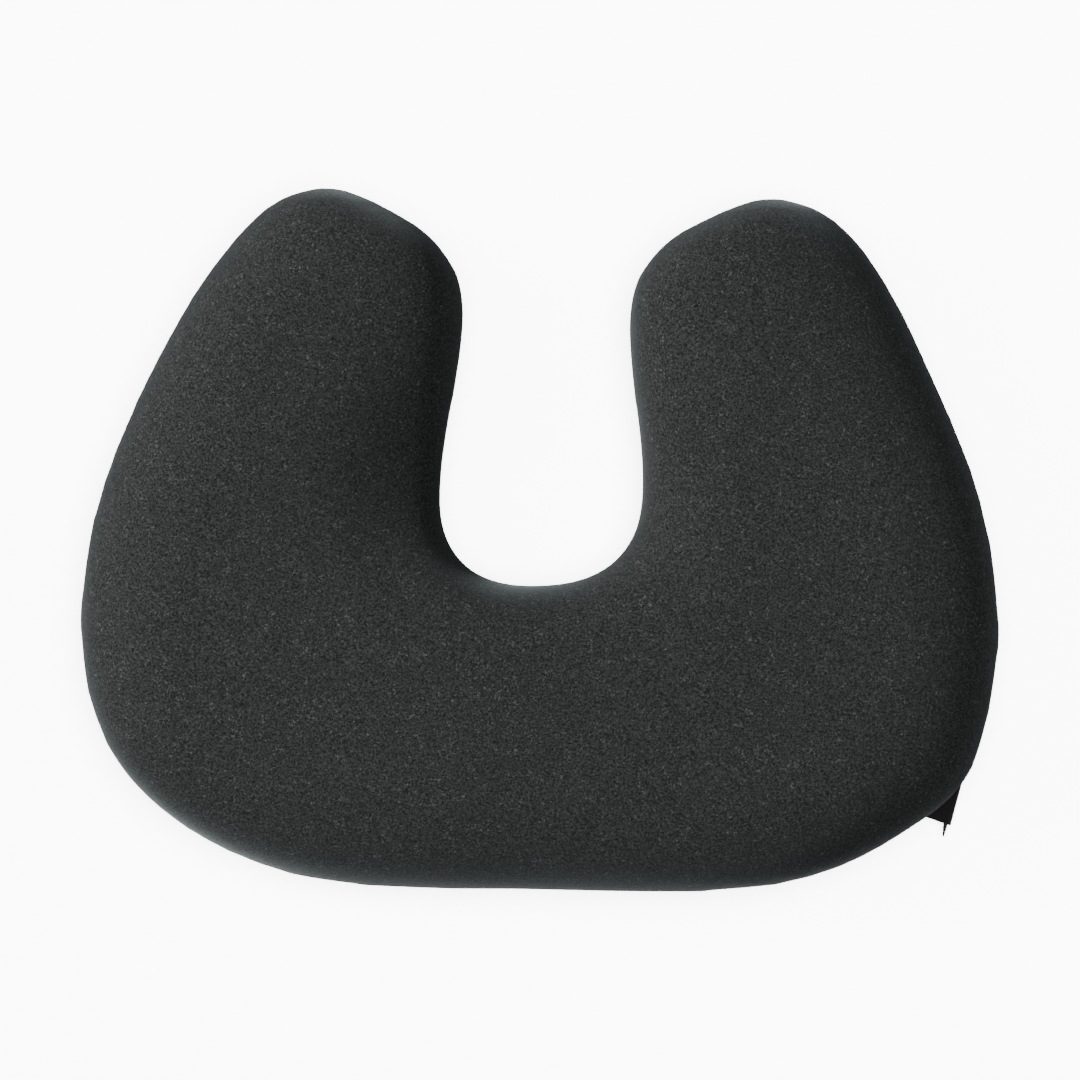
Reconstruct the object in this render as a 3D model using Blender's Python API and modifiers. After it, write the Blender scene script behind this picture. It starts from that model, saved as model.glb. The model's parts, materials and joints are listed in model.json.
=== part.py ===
"""U-shaped seat cushion: a moulded foam block in a stretch cover that zips shut across its base.

Run with: blender --background --python part.py

The frame is right-handed, in metres, +Z up. The origin is at the middle of the base, X runs across the
seat, and +Y points to the rear, where the relief notch is. The cushion is the same on both sides of the
YZ plane, apart from the zip and the folded tape end at the front right corner.
"""

import math
from typing import NamedTuple

import bmesh
import bpy
from mathutils import Vector
from mathutils.geometry import interpolate_bezier

# Overall sizes
WIDTH = 0.450
DEPTH = 0.342
HEIGHT = 0.072

# Outline of the widest level, measured from the middle of the front edge
FRONT_BOW = 0.003
CORNER_REACH = 0.125
WIDEST_Y = 0.1275
FLANK_IN = 0.042
FLANK_BACK = 0.072
LOBE_TIP_REACH = 0.069
THROAT_HALF = 0.0407
THROAT_BACK = 0.058
NOTCH_HALF = 0.0499
NOTCH_WAIST = 0.049
NOTCH_DEPTH = 0.1937

# Cross-section of the foam and its cover
BULGE_Z = 0.029
TUCK = 0.010
OUTER_ROLL = 0.038
NOTCH_ROLL = 0.021
DISH_DROP = 0.015
DISH_WIDTH = 0.068
SIDE_FALL = 0.003
COVER_WALL = 0.0018
COVER_CLEARANCE = 0.0004

# Resolution of the soft forms
STRAIGHT_TURN = 0.2
MIRROR_MERGE = 0.0001
RIBS = 26
FIELD_CELLS = 4
WALL_RINGS = 3
ROLL_RINGS = 4

# Base panel and the seam round it
BASE_WALL = 0.0015
FIT_GAP = 0.0003
SEAM_RADIUS = 0.0009
SEAM_ALLOWANCE = 0.0015
FOAM_CHAMFER = 0.003

# Zip, lying straight across the base
ZIP_Y_FROM_FRONT = 0.057
ZIP_WINDOW_HALF = 0.0075
TAPE_HALF = 0.0140
TAPE_WALL = 0.0006
TAPE_HEM = 0.004
TAPE_RISE_START = 0.0052
TAPE_RISE = 0.0052
TAPE_END_MARGIN = 0.008
CHAIN_SLOT = 0.0008
COIL_WIDTH = 0.0028
COIL_HEIGHT = 0.0020
CHAIN_END_MARGIN = 0.004
STOP_LENGTH = 0.003
CHANNEL_SIDE_CLEARANCE = 0.002
CHANNEL_ROOF_CLEARANCE = 0.0008

# Slider and its puller
SLIDER_LENGTH = 0.0110
SLIDER_HALF_WIDTH = 0.0047
SLIDER_PLATE = 0.0008
SLIDER_LIP = 0.0006
SLIDER_CLEARANCE = 0.0004
KEEL_THICKNESS = 0.0004
KEEL_LENGTH = 0.0050
BAIL_WIDTH = 0.0024
BAIL_LENGTH = 0.0062
BAIL_BAR = 0.0008
BAIL_OPENING = 0.0017
PULLER_LENGTH = 0.026
PULLER_WIDTH = 0.0062
PULLER_WALL = 0.0010
PULLER_EYE_LENGTH = 0.0034
PULLER_EYE_WIDTH = 0.0034

# Folded tape end that stands out at the front right corner, placed from the front
TAB_REAR = 0.0780
TAB_FRONT = 0.0360
TAB_TIP_OUT = 0.0140
TAB_WALL = 0.0012
TAB_TIP_Z = 0.0100
TAB_REAR_Z = 0.0080
TAB_STEPS = 6
TAB_ROOT_CLEARANCE = 0.0006
TAIL_LENGTH = 0.0062
TAIL_RADIUS = 0.0006
TAIL_END_RADIUS = 0.0002
TAIL_TURN_DEG = 234

KNIT = (0.030, 0.035, 0.033)
FOAM = (0.62, 0.60, 0.55)
GRIP_FABRIC = (0.018, 0.018, 0.019)
TAPE = (0.022, 0.020, 0.021)
NYLON = (0.030, 0.029, 0.030)
GUNMETAL = (0.16, 0.16, 0.17)
THREAD = (0.024, 0.023, 0.024)


def clear_scene():
    """Removes whatever the file starts with."""
    for obj in list(bpy.data.objects):
        bpy.data.objects.remove(obj, do_unlink=True)


def new_collection(name):
    """Returns a new collection in the scene."""
    collection = bpy.data.collections.new(name)
    bpy.context.scene.collection.children.link(collection)
    return collection


def new_material(name, colour, roughness, metallic=0.0):
    """Returns a Principled material of one colour."""
    material = bpy.data.materials.new(name)
    material.use_nodes = True
    shader = material.node_tree.nodes["Principled BSDF"]
    shader.inputs["Base Color"].default_value = (*colour, 1.0)
    shader.inputs["Roughness"].default_value = roughness
    shader.inputs["Metallic"].default_value = metallic
    return material


def new_object(name, bm, collection, material=None, smooth_deg=40.0):
    """Makes an object from a bmesh, which it frees, shaded smooth below the given edge angle."""
    mesh = bpy.data.meshes.new(name)
    bm.to_mesh(mesh)
    bm.free()
    mesh.shade_smooth()
    mesh.set_sharp_from_angle(angle=math.radians(smooth_deg))
    obj = bpy.data.objects.new(name, mesh)
    collection.objects.link(obj)
    if material:
        mesh.materials.append(material)
    return obj


def add_box(bm, low, high):
    """Adds a box between two corners to a bmesh and returns its vertices."""
    low, high = Vector(low), Vector(high)
    verts = bmesh.ops.create_cube(bm, size=1.0)["verts"]
    bmesh.ops.scale(bm, vec=high - low, verts=verts)
    bmesh.ops.translate(bm, vec=(low + high) / 2, verts=verts)
    return verts


def add_bevel(obj, width, segments=2):
    """Rounds an object's sharp edges."""
    bevel = obj.modifiers.new("Rounded edges", "BEVEL")
    bevel.width = width
    bevel.segments = segments
    bevel.limit_method = "ANGLE"


def add_boolean(obj, other, operation):
    """Cuts an object with another, or joins the other to it."""
    boolean = obj.modifiers.new(operation.title(), "BOOLEAN")
    boolean.operation = operation
    boolean.solver = "EXACT"
    boolean.object = other


# ---- Outline and surface of the soft form


class Knot(NamedTuple):
    """A point that the outline passes through, with how full the curve is before and after it."""

    x: float
    y: float
    heading_deg: float
    arrive: float = 1.0
    leave: float = 1.0


def outline_knots():
    """Knots of the right half of the outline, with y from the front and headings along the outline."""
    half = WIDTH / 2
    return (
        Knot(0.0, 0.0, 0),
        Knot(half - CORNER_REACH, FRONT_BOW, 7, leave=1.05),
        Knot(half, WIDEST_Y, 90, arrive=1.12),
        Knot(half - FLANK_IN, DEPTH - FLANK_BACK, 118),
        Knot(THROAT_HALF + LOBE_TIP_REACH, DEPTH, 180, leave=1.08),
        Knot(THROAT_HALF, DEPTH - THROAT_BACK, 270, arrive=0.66, leave=0.87),
        Knot(NOTCH_HALF, DEPTH - NOTCH_DEPTH + NOTCH_WAIST, 270, arrive=0.89, leave=1.18),
        Knot(0.0, DEPTH - NOTCH_DEPTH, 180, arrive=1.16),
    )


def unit_vector(heading_deg):
    """Unit vector in plan at a heading from +X."""
    heading = math.radians(heading_deg)
    return Vector((math.cos(heading), math.sin(heading), 0.0))


def curve_between(start, end, steps=48):
    """Points on the smooth curve between two knots; at a fullness of 1 it is close to a circular arc."""
    a, b = Vector((start.x, start.y, 0)), Vector((end.x, end.y, 0))
    turn = math.radians(end.heading_deg - start.heading_deg)
    reach = (b - a).length / 3
    if abs(turn) > STRAIGHT_TURN:
        reach = (b - a).length * (2 / 3) * math.tan(turn / 4) / math.sin(turn / 2)
    after = a + unit_vector(start.heading_deg) * reach * start.leave
    before = b - unit_vector(end.heading_deg) * reach * end.arrive
    return interpolate_bezier(a, after, before, b, steps)


def spaced(points, count):
    """The given number of equal steps along a run of points."""
    lengths = [0.0]
    for before, after in zip(points, points[1:]):
        lengths.append(lengths[-1] + (after - before).length)
    found = []
    j = 0
    for i in range(count + 1):
        target = lengths[-1] * i / count
        while j < len(points) - 2 and lengths[j + 1] < target:
            j += 1
        share = (target - lengths[j]) / (lengths[j + 1] - lengths[j])
        found.append(points[j].lerp(points[j + 1], share))
    return found


def half_outline():
    """The right half's outline in the cushion's frame: RIBS steps to the lobe's tip, RIBS on to the notch."""
    knots = outline_knots()
    runs = [curve_between(*pair) for pair in zip(knots, knots[1:])]
    tip_knot = 4
    outer = [p for run in runs[:tip_knot] for p in run]
    notch = [p for run in runs[tip_knot:] for p in run]
    origin = Vector((0, DEPTH / 2, 0))
    return [p - origin for p in spaced(outer, RIBS) + spaced(notch, RIBS)[1:]]


def inward_normals(points):
    """Unit vectors from the outline into the foam."""
    found = []
    for i, point in enumerate(points):
        ahead = points[min(i + 1, len(points) - 1)]
        behind = points[max(i - 1, 0)]
        along = (ahead - behind).normalized()
        if i in (0, len(points) - 1):
            along = Vector((1, 0, 0)) if i == 0 else Vector((-1, 0, 0))
        found.append(Vector((-along.y, along.x, 0)))
    return found


def smooth_step(value, low, high):
    """0 below low, 1 above high and an even S between them."""
    share = min(max((value - low) / (high - low), 0.0), 1.0)
    return share * share * (3 - 2 * share)


def distance_to(point, line):
    """Shortest distance in plan from a point to a run of points."""
    best = math.inf
    for a, b in zip(line, line[1:]):
        along = b - a
        share = min(max((point - a).dot(along) / along.length_squared, 0.0), 1.0)
        best = min(best, (point - a - along * share).length)
    return best


def notch_wall():
    """Plan of the right wall of the notch, from its throat to the middle of its floor."""
    knots = outline_knots()[5:]
    runs = [curve_between(*pair, steps=12) for pair in zip(knots, knots[1:])]
    origin = Vector((0, DEPTH / 2, 0))
    return [p - origin for run in runs for p in run[1:]]


def crown_height(point, wall):
    """Height of the top away from its rolled edges: level, and dished towards the sides of the notch."""
    y_from_front = point.y + DEPTH / 2
    notch_front = DEPTH - NOTCH_DEPTH
    beside_notch = smooth_step(y_from_front, notch_front - DISH_WIDTH / 2, notch_front + DISH_WIDTH / 2)
    before_tips = 1 - 0.6 * smooth_step(y_from_front, DEPTH - THROAT_BACK, DEPTH)
    nearness = max(1 - distance_to(point, wall) / DISH_WIDTH, 0.0)
    dish = DISH_DROP * beside_notch * before_tips * nearness**2
    return HEIGHT - dish - SIDE_FALL * (2 * point.x / WIDTH) ** 2


def roll_radius(i):
    """Radius of the top's rolled edge at an outline point, easing from the outer to the notch side."""
    to_notch = smooth_step(i / RIBS, 0.9, 1.3)
    return OUTER_ROLL + (NOTCH_ROLL - OUTER_ROLL) * to_notch


def form_rings():
    """Rings of points up the right half of the cover's outer face, from its hem to its level top.

    Each ring is the outline moved inwards: by the tuck under the bulge, and then by the rolled edge.
    """
    outline = half_outline()
    normals = inward_normals(outline)
    wall = notch_wall()
    rings = []
    for k in range(WALL_RINGS):
        turn = math.pi / 2 * (1 - k / WALL_RINGS)
        tuck = TUCK * (1 - math.cos(turn))
        z = BULGE_Z - (BULGE_Z - BASE_TOP) * math.sin(turn)
        rings.append([p + n * tuck + Vector((0, 0, z)) for p, n in zip(outline, normals)])
    for k in range(ROLL_RINGS + 1):
        turn = math.pi / 2 * k / ROLL_RINGS
        ring = []
        for i, (p, n) in enumerate(zip(outline, normals)):
            place = p + n * roll_radius(i) * (1 - math.cos(turn))
            rise = crown_height(place, wall) - BULGE_Z
            ring.append(place + Vector((0, 0, BULGE_Z + rise * math.sin(turn))))
        rings.append(ring)
    return rings


def loft(bm, rows, close_tip=False):
    """Joins neighbouring rows of vertices with faces; with close_tip the rows share their last vertex."""
    for low, high in zip(rows, rows[1:]):
        for i in range(len(low) - 1):
            corners = [low[i], low[i + 1], high[i + 1], high[i]]
            if close_tip and i == len(low) - 2:
                corners = [low[i], low[i + 1], high[i]]
            bm.faces.new(corners)


def level_top(bm, rim):
    """Fills the level top inside its rim, with ribs from the outer side to the notch side."""
    wall = notch_wall()
    columns = []
    for cell in range(FIELD_CELLS + 1):
        column = []
        for i in range(RIBS):
            outer, inner = rim[i], rim[2 * RIBS - i]
            if cell == 0:
                column.append(outer)
            elif cell == FIELD_CELLS:
                column.append(inner)
            else:
                place = outer.co.lerp(inner.co, cell / FIELD_CELLS)
                place.z = crown_height(Vector((place.x, place.y, 0)), wall)
                column.append(bm.verts.new(place))
        columns.append(column + [rim[RIBS]])
    loft(bm, columns, close_tip=True)


def face_outwards(bm, below=0.0):
    """Turns a surface's faces to the side that the ones above a height show to the sky."""
    bmesh.ops.recalc_face_normals(bm, faces=bm.faces)
    if sum(face.normal.z for face in bm.faces if face.calc_center_median().z > below) < 0:
        bmesh.ops.reverse_faces(bm, faces=bm.faces)


def sink(bm, depth):
    """Moves an outward-facing right half in from its own surface, and keeps its mirror plane where it is."""
    bm.normal_update()
    moves = []
    for vert in bm.verts:
        normal = vert.normal.copy()
        if abs(vert.co.x) < MIRROR_MERGE:
            normal.x = 0.0
        moves.append((vert, normal.normalized() * depth))
    for vert, move in moves:
        vert.co -= move


def outer_form():
    """The right half of the cover's outer face as a bmesh, open at the mirror plane and below."""
    bm = bmesh.new()
    rows = [[bm.verts.new(p) for p in ring] for ring in form_rings()]
    loft(bm, rows)
    level_top(bm, rows[-1])
    face_outwards(bm, below=BULGE_Z)
    return bm, rows[0]


def foam_form():
    """The right half of the foam as a bmesh, open at the mirror plane: the outer form, sunk and closed below."""
    bm, hem = outer_form()
    sink(bm, LAYER_INSET)
    outline = half_outline()
    reach = LAYER_INSET + TUCK + FOAM_CHAMFER
    sole = []
    for point, normal in zip(outline, inward_normals(outline)):
        sole.append(bm.verts.new(point + normal * reach + Vector((0, 0, BASE_TOP))))
    loft(bm, [sole, hem])
    loft(bm, [sole[: RIBS - 1 : -1], sole[: RIBS + 1]], close_tip=True)
    face_outwards(bm, below=BULGE_Z)
    return bm


def mirror_halves(obj):
    """Joins a right half to its reflection in the YZ plane."""
    for vert in obj.data.vertices:
        if abs(vert.co.x) < MIRROR_MERGE:
            vert.co.x = 0.0
    mirror = obj.modifiers.new("Left half", "MIRROR")
    mirror.use_clip = True
    mirror.merge_threshold = MIRROR_MERGE


def ring_at(inset, z):
    """The whole outline moved inwards by a distance, as a closed ring of points."""
    outline = half_outline()
    moved = [p + n * inset for p, n in zip(outline, inward_normals(outline))]
    right = [Vector((p.x, p.y, z)) for p in moved]
    left = [Vector((-p.x, p.y, z)) for p in reversed(right[1:-1])]
    return right + left


def edge_point(y_from_front, inset):
    """Place in plan on the right side's outline, moved inwards, at a distance from the front."""
    y = y_from_front - DEPTH / 2
    ring = ring_at(inset, 0.0)[: RIBS + 1]
    for a, b in zip(ring, ring[1:]):
        if a.y <= y <= b.y:
            return a.lerp(b, (y - a.y) / (b.y - a.y))
    return ring[-1]


# ---- Foam and cover


def build_foam(parts, cutters):
    """One moulded foam block, with the channel across its base that the zip lies in."""
    foam = new_object("foam_core", foam_form(), parts, new_material("foam", FOAM, 0.9))
    mirror_halves(foam)
    reach = tape_half_length() + CHANNEL_SIDE_CLEARANCE
    mouth_half = TAPE_HALF + CHANNEL_SIDE_CLEARANCE
    roof_half = SLIDER_HALF_WIDTH + CHANNEL_SIDE_CLEARANCE
    shoulder_z = BASE_TOP + 2 * TAPE_WALL
    bm = bmesh.new()
    right_side = ((mouth_half, 0.0), (mouth_half, shoulder_z), (roof_half, CHANNEL_TOP))
    section = [(-y, z) for y, z in right_side] + [(y, z) for y, z in reversed(right_side)]
    end = bm.faces.new([bm.verts.new((-reach, ZIP_Y + y, z)) for y, z in section])
    pulled = bmesh.ops.extrude_face_region(bm, geom=[end])["geom"]
    moved = [item for item in pulled if isinstance(item, bmesh.types.BMVert)]
    bmesh.ops.translate(bm, vec=(2 * reach, 0, 0), verts=moved)
    bmesh.ops.recalc_face_normals(bm, faces=bm.faces)
    channel = new_object("zip_channel_cutter", bm, cutters)
    add_boolean(foam, channel, "DIFFERENCE")


def build_cover(parts):
    """Knit cover over the top, sides and notch, open below where the base panel closes it."""
    cover = new_object("cover_top", outer_form()[0], parts, new_material("knit", KNIT, 0.85))
    mirror_halves(cover)
    wall = cover.modifiers.new("Knit thickness", "SOLIDIFY")
    wall.thickness = COVER_WALL
    wall.offset = -1.0


def poly_spline(curve, points):
    """Adds a closed spline through points to a curve."""
    spline = curve.splines.new("POLY")
    spline.points.add(len(points) - 1)
    for target, point in zip(spline.points, points):
        target.co = (point.x, point.y, point.z, 1.0)
    spline.use_cyclic_u = True


def build_base_panel(parts):
    """Flat grip-fabric panel that closes the cover below, with the window that the zip works in."""
    window = window_half_length()
    corners = ((-1, -1), (1, -1), (1, 1), (-1, 1))
    slot = [Vector((sx * window, ZIP_Y + sy * ZIP_WINDOW_HALF, 0.0)) for sx, sy in corners]
    flat = bpy.data.curves.new("base_panel", "CURVE")
    flat.dimensions = "2D"
    flat.fill_mode = "BOTH"
    flat.extrude = BASE_WALL / 2
    poly_spline(flat, ring_at(PANEL_INSET, 0.0))
    poly_spline(flat, slot)
    flat.materials.append(new_material("grip fabric", GRIP_FABRIC, 0.9))
    panel = bpy.data.objects.new("base_panel", flat)
    panel.location.z = BASE_WALL / 2
    parts.objects.link(panel)


def build_base_seam(parts):
    """Overlocked seam cord in the corner between the cover's hem and the edge of the base panel."""
    curve = bpy.data.curves.new("base_seam", "CURVE")
    curve.dimensions = "3D"
    curve.bevel_depth = SEAM_RADIUS
    curve.bevel_resolution = 1
    poly_spline(curve, ring_at(SEAM_INSET, SEAM_RADIUS + FIT_GAP))
    curve.materials.append(new_material("seam thread", THREAD, 0.8))
    parts.objects.link(bpy.data.objects.new("base_seam", curve))


# ---- Zip


def tape_half_length():
    """Length of a tape each side of the middle, short of the base's edge at the tape's front side."""
    return edge_point(ZIP_Y_FROM_FRONT - TAPE_HALF, TUCK + COVER_WALL).x - TAPE_END_MARGIN


def window_half_length():
    """Length of the base panel's window each side of the middle."""
    return tape_half_length() - TAPE_END_MARGIN


def chain_ends():
    """X of the chain's open and closed ends; the puller lies flat beyond the open one."""
    window = window_half_length()
    return PULLER_LENGTH - window, window - CHAIN_END_MARGIN


def slider_rest_x():
    """X of the closed slider's middle, against the top stops."""
    return chain_ends()[1] - STOP_LENGTH - 2 * FIT_GAP - SLIDER_LENGTH / 2


def build_tape(name, side, parts, material):
    """One woven tape: flat on the base panel, then rising to the chain in the foam's channel."""
    length = tape_half_length()
    section = (
        (TAPE_HALF, BASE_TOP),
        (TAPE_HALF - TAPE_HEM, BASE_TOP),
        (TAPE_RISE_START, TAPE_HIGH),
        (CHAIN_SLOT / 2, TAPE_HIGH),
    )
    bm = bmesh.new()
    loft(bm, [[bm.verts.new((x, ZIP_Y + side * y, z)) for y, z in section] for x in (-length, length)])
    face_outwards(bm)
    tape = new_object(name, bm, parts, material, smooth_deg=20)
    wall = tape.modifiers.new("Tape thickness", "SOLIDIFY")
    wall.thickness = TAPE_WALL
    wall.offset = 1.0


def build_chain_piece(name, start_x, end_x, sides, parts, material):
    """A piece on the tapes' inner edges, the chain's width on one side or both, with rounded edges."""
    reaches = [side * (CHAIN_SLOT / 2 + COIL_WIDTH) for side in sides]
    starts = [side * CHAIN_SLOT / 2 for side in sides]
    low_y, high_y = min(reaches + starts), max(reaches + starts)
    bm = bmesh.new()
    add_box(bm, (start_x, ZIP_Y + low_y, COIL_LOW), (end_x, ZIP_Y + high_y, COIL_TOP))
    piece = new_object(name, bm, parts, material)
    add_bevel(piece, COIL_HEIGHT / 4)


def build_chain(parts):
    """Both tapes, their nylon coils as the strips that the loops fill, and the stops."""
    tape = new_material("zip tape", TAPE, 0.8)
    nylon = new_material("nylon coil", NYLON, 0.35)
    metal = new_material("stop metal", GUNMETAL, 0.35, metallic=1.0)
    open_x, closed_x = chain_ends()
    for side, place in ((-1, "front"), (1, "rear")):
        build_tape(f"zip_tape_{place}", side, parts, tape)
        coil_start = open_x + STOP_LENGTH + FIT_GAP
        coil_end = closed_x - STOP_LENGTH - FIT_GAP
        build_chain_piece(f"zip_coil_{place}", coil_start, coil_end, (side,), parts, nylon)
        build_chain_piece(f"zip_top_stop_{place}", closed_x - STOP_LENGTH, closed_x, (side,), parts, metal)
    build_chain_piece("zip_bottom_stop", open_x, open_x + STOP_LENGTH, (-1, 1), parts, metal)


def box_object(name, low, high, collection, parent, material=None):
    """A box as an object under a parent, in the parent's frame."""
    bm = bmesh.new()
    add_box(bm, low, high)
    obj = new_object(name, bm, collection, material)
    obj.parent = parent
    return obj


def upright_edges(bm, height):
    """Edges of a plate of the given thickness that run through it."""
    return [edge for edge in bm.edges if abs(edge.verts[0].co.z - edge.verts[1].co.z) > height / 2]


def round_plate(obj, thickness, radius):
    """Rounds a plate's outline at its corners."""
    bm = bmesh.new()
    bm.from_mesh(obj.data)
    edges = upright_edges(bm, thickness)
    bmesh.ops.bevel(bm, geom=edges, offset=radius, segments=3, affect="EDGES", profile=0.5, material=-1)
    bm.to_mesh(obj.data)
    bm.free()


def build_slider(parts, cutters, carrier, material):
    """Slider body: two plates joined by a keel between the coils, with lips that keep the coils in."""
    half = SLIDER_LENGTH / 2
    wide = SLIDER_HALF_WIDTH
    sunk = SLIDER_PLATE / 2
    low_plate = ((-half, -wide, SLIDER_LOW), (half, wide, SLIDER_LOW + SLIDER_PLATE))
    high_plate = ((-half, -wide, SLIDER_HIGH - SLIDER_PLATE), (half, wide, SLIDER_HIGH))
    body = box_object("zip_slider_body", *low_plate, parts, carrier, material)
    round_plate(body, SLIDER_PLATE, wide / 3)
    upper = box_object("slider_upper_plate", *high_plate, cutters, carrier)
    round_plate(upper, SLIDER_PLATE, wide / 3)
    keel_end = half - SLIDER_CLEARANCE
    keel_low = (keel_end - KEEL_LENGTH, -KEEL_THICKNESS / 2, SLIDER_LOW + sunk)
    keel_high = (keel_end, KEEL_THICKNESS / 2, SLIDER_HIGH - sunk)
    keel = box_object("slider_keel", keel_low, keel_high, cutters, carrier)
    add_boolean(body, upper, "UNION")
    add_boolean(body, keel, "UNION")
    for side, place in ((-1, "front"), (1, "rear")):
        near, far = sorted((side * (wide - SLIDER_LIP), side * wide))
        lip_low = (-half / 2, near, SLIDER_LOW + sunk)
        lip_high = (half / 2, far, COIL_LOW + COIL_HEIGHT / 2)
        lip = box_object(f"slider_lip_{place}", lip_low, lip_high, cutters, carrier)
        add_boolean(body, lip, "UNION")


def build_bail(parts, cutters, carrier, material):
    """Small arch on the slider's face that the puller's eye turns on."""
    half = BAIL_LENGTH / 2
    crown = SLIDER_LOW - BAIL_OPENING - BAIL_BAR
    arch_low = (-half, -BAIL_WIDTH / 2, crown)
    arch_high = (half, BAIL_WIDTH / 2, SLIDER_LOW - FIT_GAP)
    bail = box_object("zip_slider_bail", arch_low, arch_high, parts, carrier, material)
    gap_low = (BAIL_BAR - half, -BAIL_WIDTH, SLIDER_LOW - BAIL_OPENING)
    gap_high = (half - BAIL_BAR, BAIL_WIDTH, SLIDER_LOW + BAIL_OPENING)
    add_boolean(bail, box_object("bail_opening_cutter", gap_low, gap_high, cutters, carrier), "DIFFERENCE")


def build_puller(parts, cutters, hinge, material):
    """Flat pull tab whose end bar turns in the bail; it lies back along the closed chain."""
    bar = PULLER_WALL / 2
    wide = PULLER_WIDTH / 2
    puller = box_object("zip_puller", (bar - PULLER_LENGTH, -wide, -bar), (bar, wide, bar), parts, hinge, material)
    round_plate(puller, PULLER_WALL, PULLER_WIDTH / 4)
    eye_low = (-bar - PULLER_EYE_LENGTH, -PULLER_EYE_WIDTH / 2, -PULLER_WALL)
    eye_high = (-bar, PULLER_EYE_WIDTH / 2, PULLER_WALL)
    add_boolean(puller, box_object("puller_eye_cutter", eye_low, eye_high, cutters, hinge), "DIFFERENCE")


def build_zip(parts, cutters):
    """The chain, and the slider and puller on empties that stand on their joints' axes."""
    build_chain(parts)
    metal = new_material("slider metal", GUNMETAL, 0.32, metallic=1.0)
    carrier = bpy.data.objects.new("zip_slide", None)
    carrier.location = (slider_rest_x(), ZIP_Y, 0.0)
    hinge = bpy.data.objects.new("puller_hinge", None)
    hinge.parent = carrier
    hinge.location = (0.0, 0.0, HINGE_Z)
    for empty in (carrier, hinge):
        parts.objects.link(empty)
    build_slider(parts, cutters, carrier, metal)
    build_bail(parts, cutters, carrier, metal)
    build_puller(parts, cutters, hinge, metal)


# ---- Folded tape end


def build_end_tab(parts, material):
    """Folded tape end, rooted along the base seam, with its free corner standing out to the front.

    Returns the free corner's place.
    """
    root_inset = SEAM_INSET - SEAM_RADIUS - TAB_ROOT_CLEARANCE
    root_z = SEAM_RADIUS + FIT_GAP
    free = edge_point(TAB_FRONT, -TAB_TIP_OUT) + Vector((0, 0, TAB_TIP_Z))
    rear = edge_point(TAB_REAR, 0.0) + Vector((0, 0, TAB_REAR_Z))
    root_front = TAB_FRONT + root_inset
    root_rear = TAB_REAR - root_inset
    bm = bmesh.new()
    outer, middle, root = [], [], []
    for step in range(TAB_STEPS + 1):
        share = step / TAB_STEPS
        y = root_front + (root_rear - root_front) * share
        low = edge_point(y, root_inset) + Vector((0, 0, root_z))
        high = free.lerp(rear, share)
        half_way = low.lerp(high, 0.5) - Vector((0, 0, TAB_WALL / 2))
        for row, place in ((outer, high), (middle, half_way), (root, low)):
            row.append(bm.verts.new(place))
    loft(bm, [root, middle, outer])
    bmesh.ops.recalc_face_normals(bm, faces=bm.faces)
    tab = new_object("zip_end_tab", bm, parts, material)
    wall = tab.modifiers.new("Folded thickness", "SOLIDIFY")
    wall.thickness = TAB_WALL
    wall.offset = 0.0
    return free


def build_thread_tail(parts, material, free):
    """Stiff tail of the sewing thread, tapering from the tab's free corner."""
    turn = math.radians(TAIL_TURN_DEG)
    along = Vector((math.cos(turn), math.sin(turn), 0.0))
    bm = bmesh.new()
    bmesh.ops.create_cone(
        bm,
        cap_ends=True,
        segments=8,
        radius1=TAIL_RADIUS,
        radius2=TAIL_END_RADIUS,
        depth=TAIL_LENGTH,
    )
    tail = new_object("zip_end_thread", bm, parts, material)
    tail.rotation_euler = along.to_track_quat("Z", "Y").to_euler()
    tail.location = free + along * (TAIL_LENGTH / 2 + FIT_GAP)


LAYER_INSET = COVER_WALL + COVER_CLEARANCE
PANEL_INSET = TUCK - SEAM_ALLOWANCE
SEAM_INSET = PANEL_INSET - SEAM_RADIUS - FIT_GAP
BASE_TOP = BASE_WALL + FIT_GAP
ZIP_Y = ZIP_Y_FROM_FRONT - DEPTH / 2
TAPE_HIGH = BASE_TOP + TAPE_RISE
COIL_TOP = TAPE_HIGH - FIT_GAP
COIL_LOW = COIL_TOP - COIL_HEIGHT
SLIDER_LOW = COIL_LOW - SLIDER_CLEARANCE - SLIDER_PLATE
SLIDER_HIGH = TAPE_HIGH + TAPE_WALL + SLIDER_CLEARANCE + SLIDER_PLATE
CHANNEL_TOP = SLIDER_HIGH + CHANNEL_ROOF_CLEARANCE
HINGE_Z = SLIDER_LOW - BAIL_OPENING / 2


def main():
    """Builds every piece."""
    clear_scene()
    parts = new_collection("seat_cushion")
    cutters = new_collection("cutters")
    build_foam(parts, cutters)
    build_cover(parts)
    build_base_panel(parts)
    build_base_seam(parts)
    build_zip(parts, cutters)
    folded = new_material("folded tape", TAPE, 0.8)
    free_corner = build_end_tab(parts, folded)
    build_thread_tail(parts, new_material("thread tail", THREAD, 0.7), free_corner)
    for cutter in cutters.objects:
        cutter.hide_render = True
        cutter.display_type = "WIRE"


if __name__ == "__main__":
    main()
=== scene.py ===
"""Looks of a U-shaped seat cushion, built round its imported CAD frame.

The cushion is a moulded foam block in a heathered stretch knit cover. Its flat base is a woven grip fabric
with rubber dots, joined to the knit by an overlocked seam and crossed by a coil zip, and the end of the
zip's tape stands out, folded, at the front right.
"""

from __future__ import annotations

import json
import logging
import math
from dataclasses import dataclass, field
from enum import Enum
from typing import Callable, Iterable, Optional, Sequence, Union

import bmesh
import bpy
from mathutils import Matrix, Vector, noise
from mathutils.bvhtree import BVHTree

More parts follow.
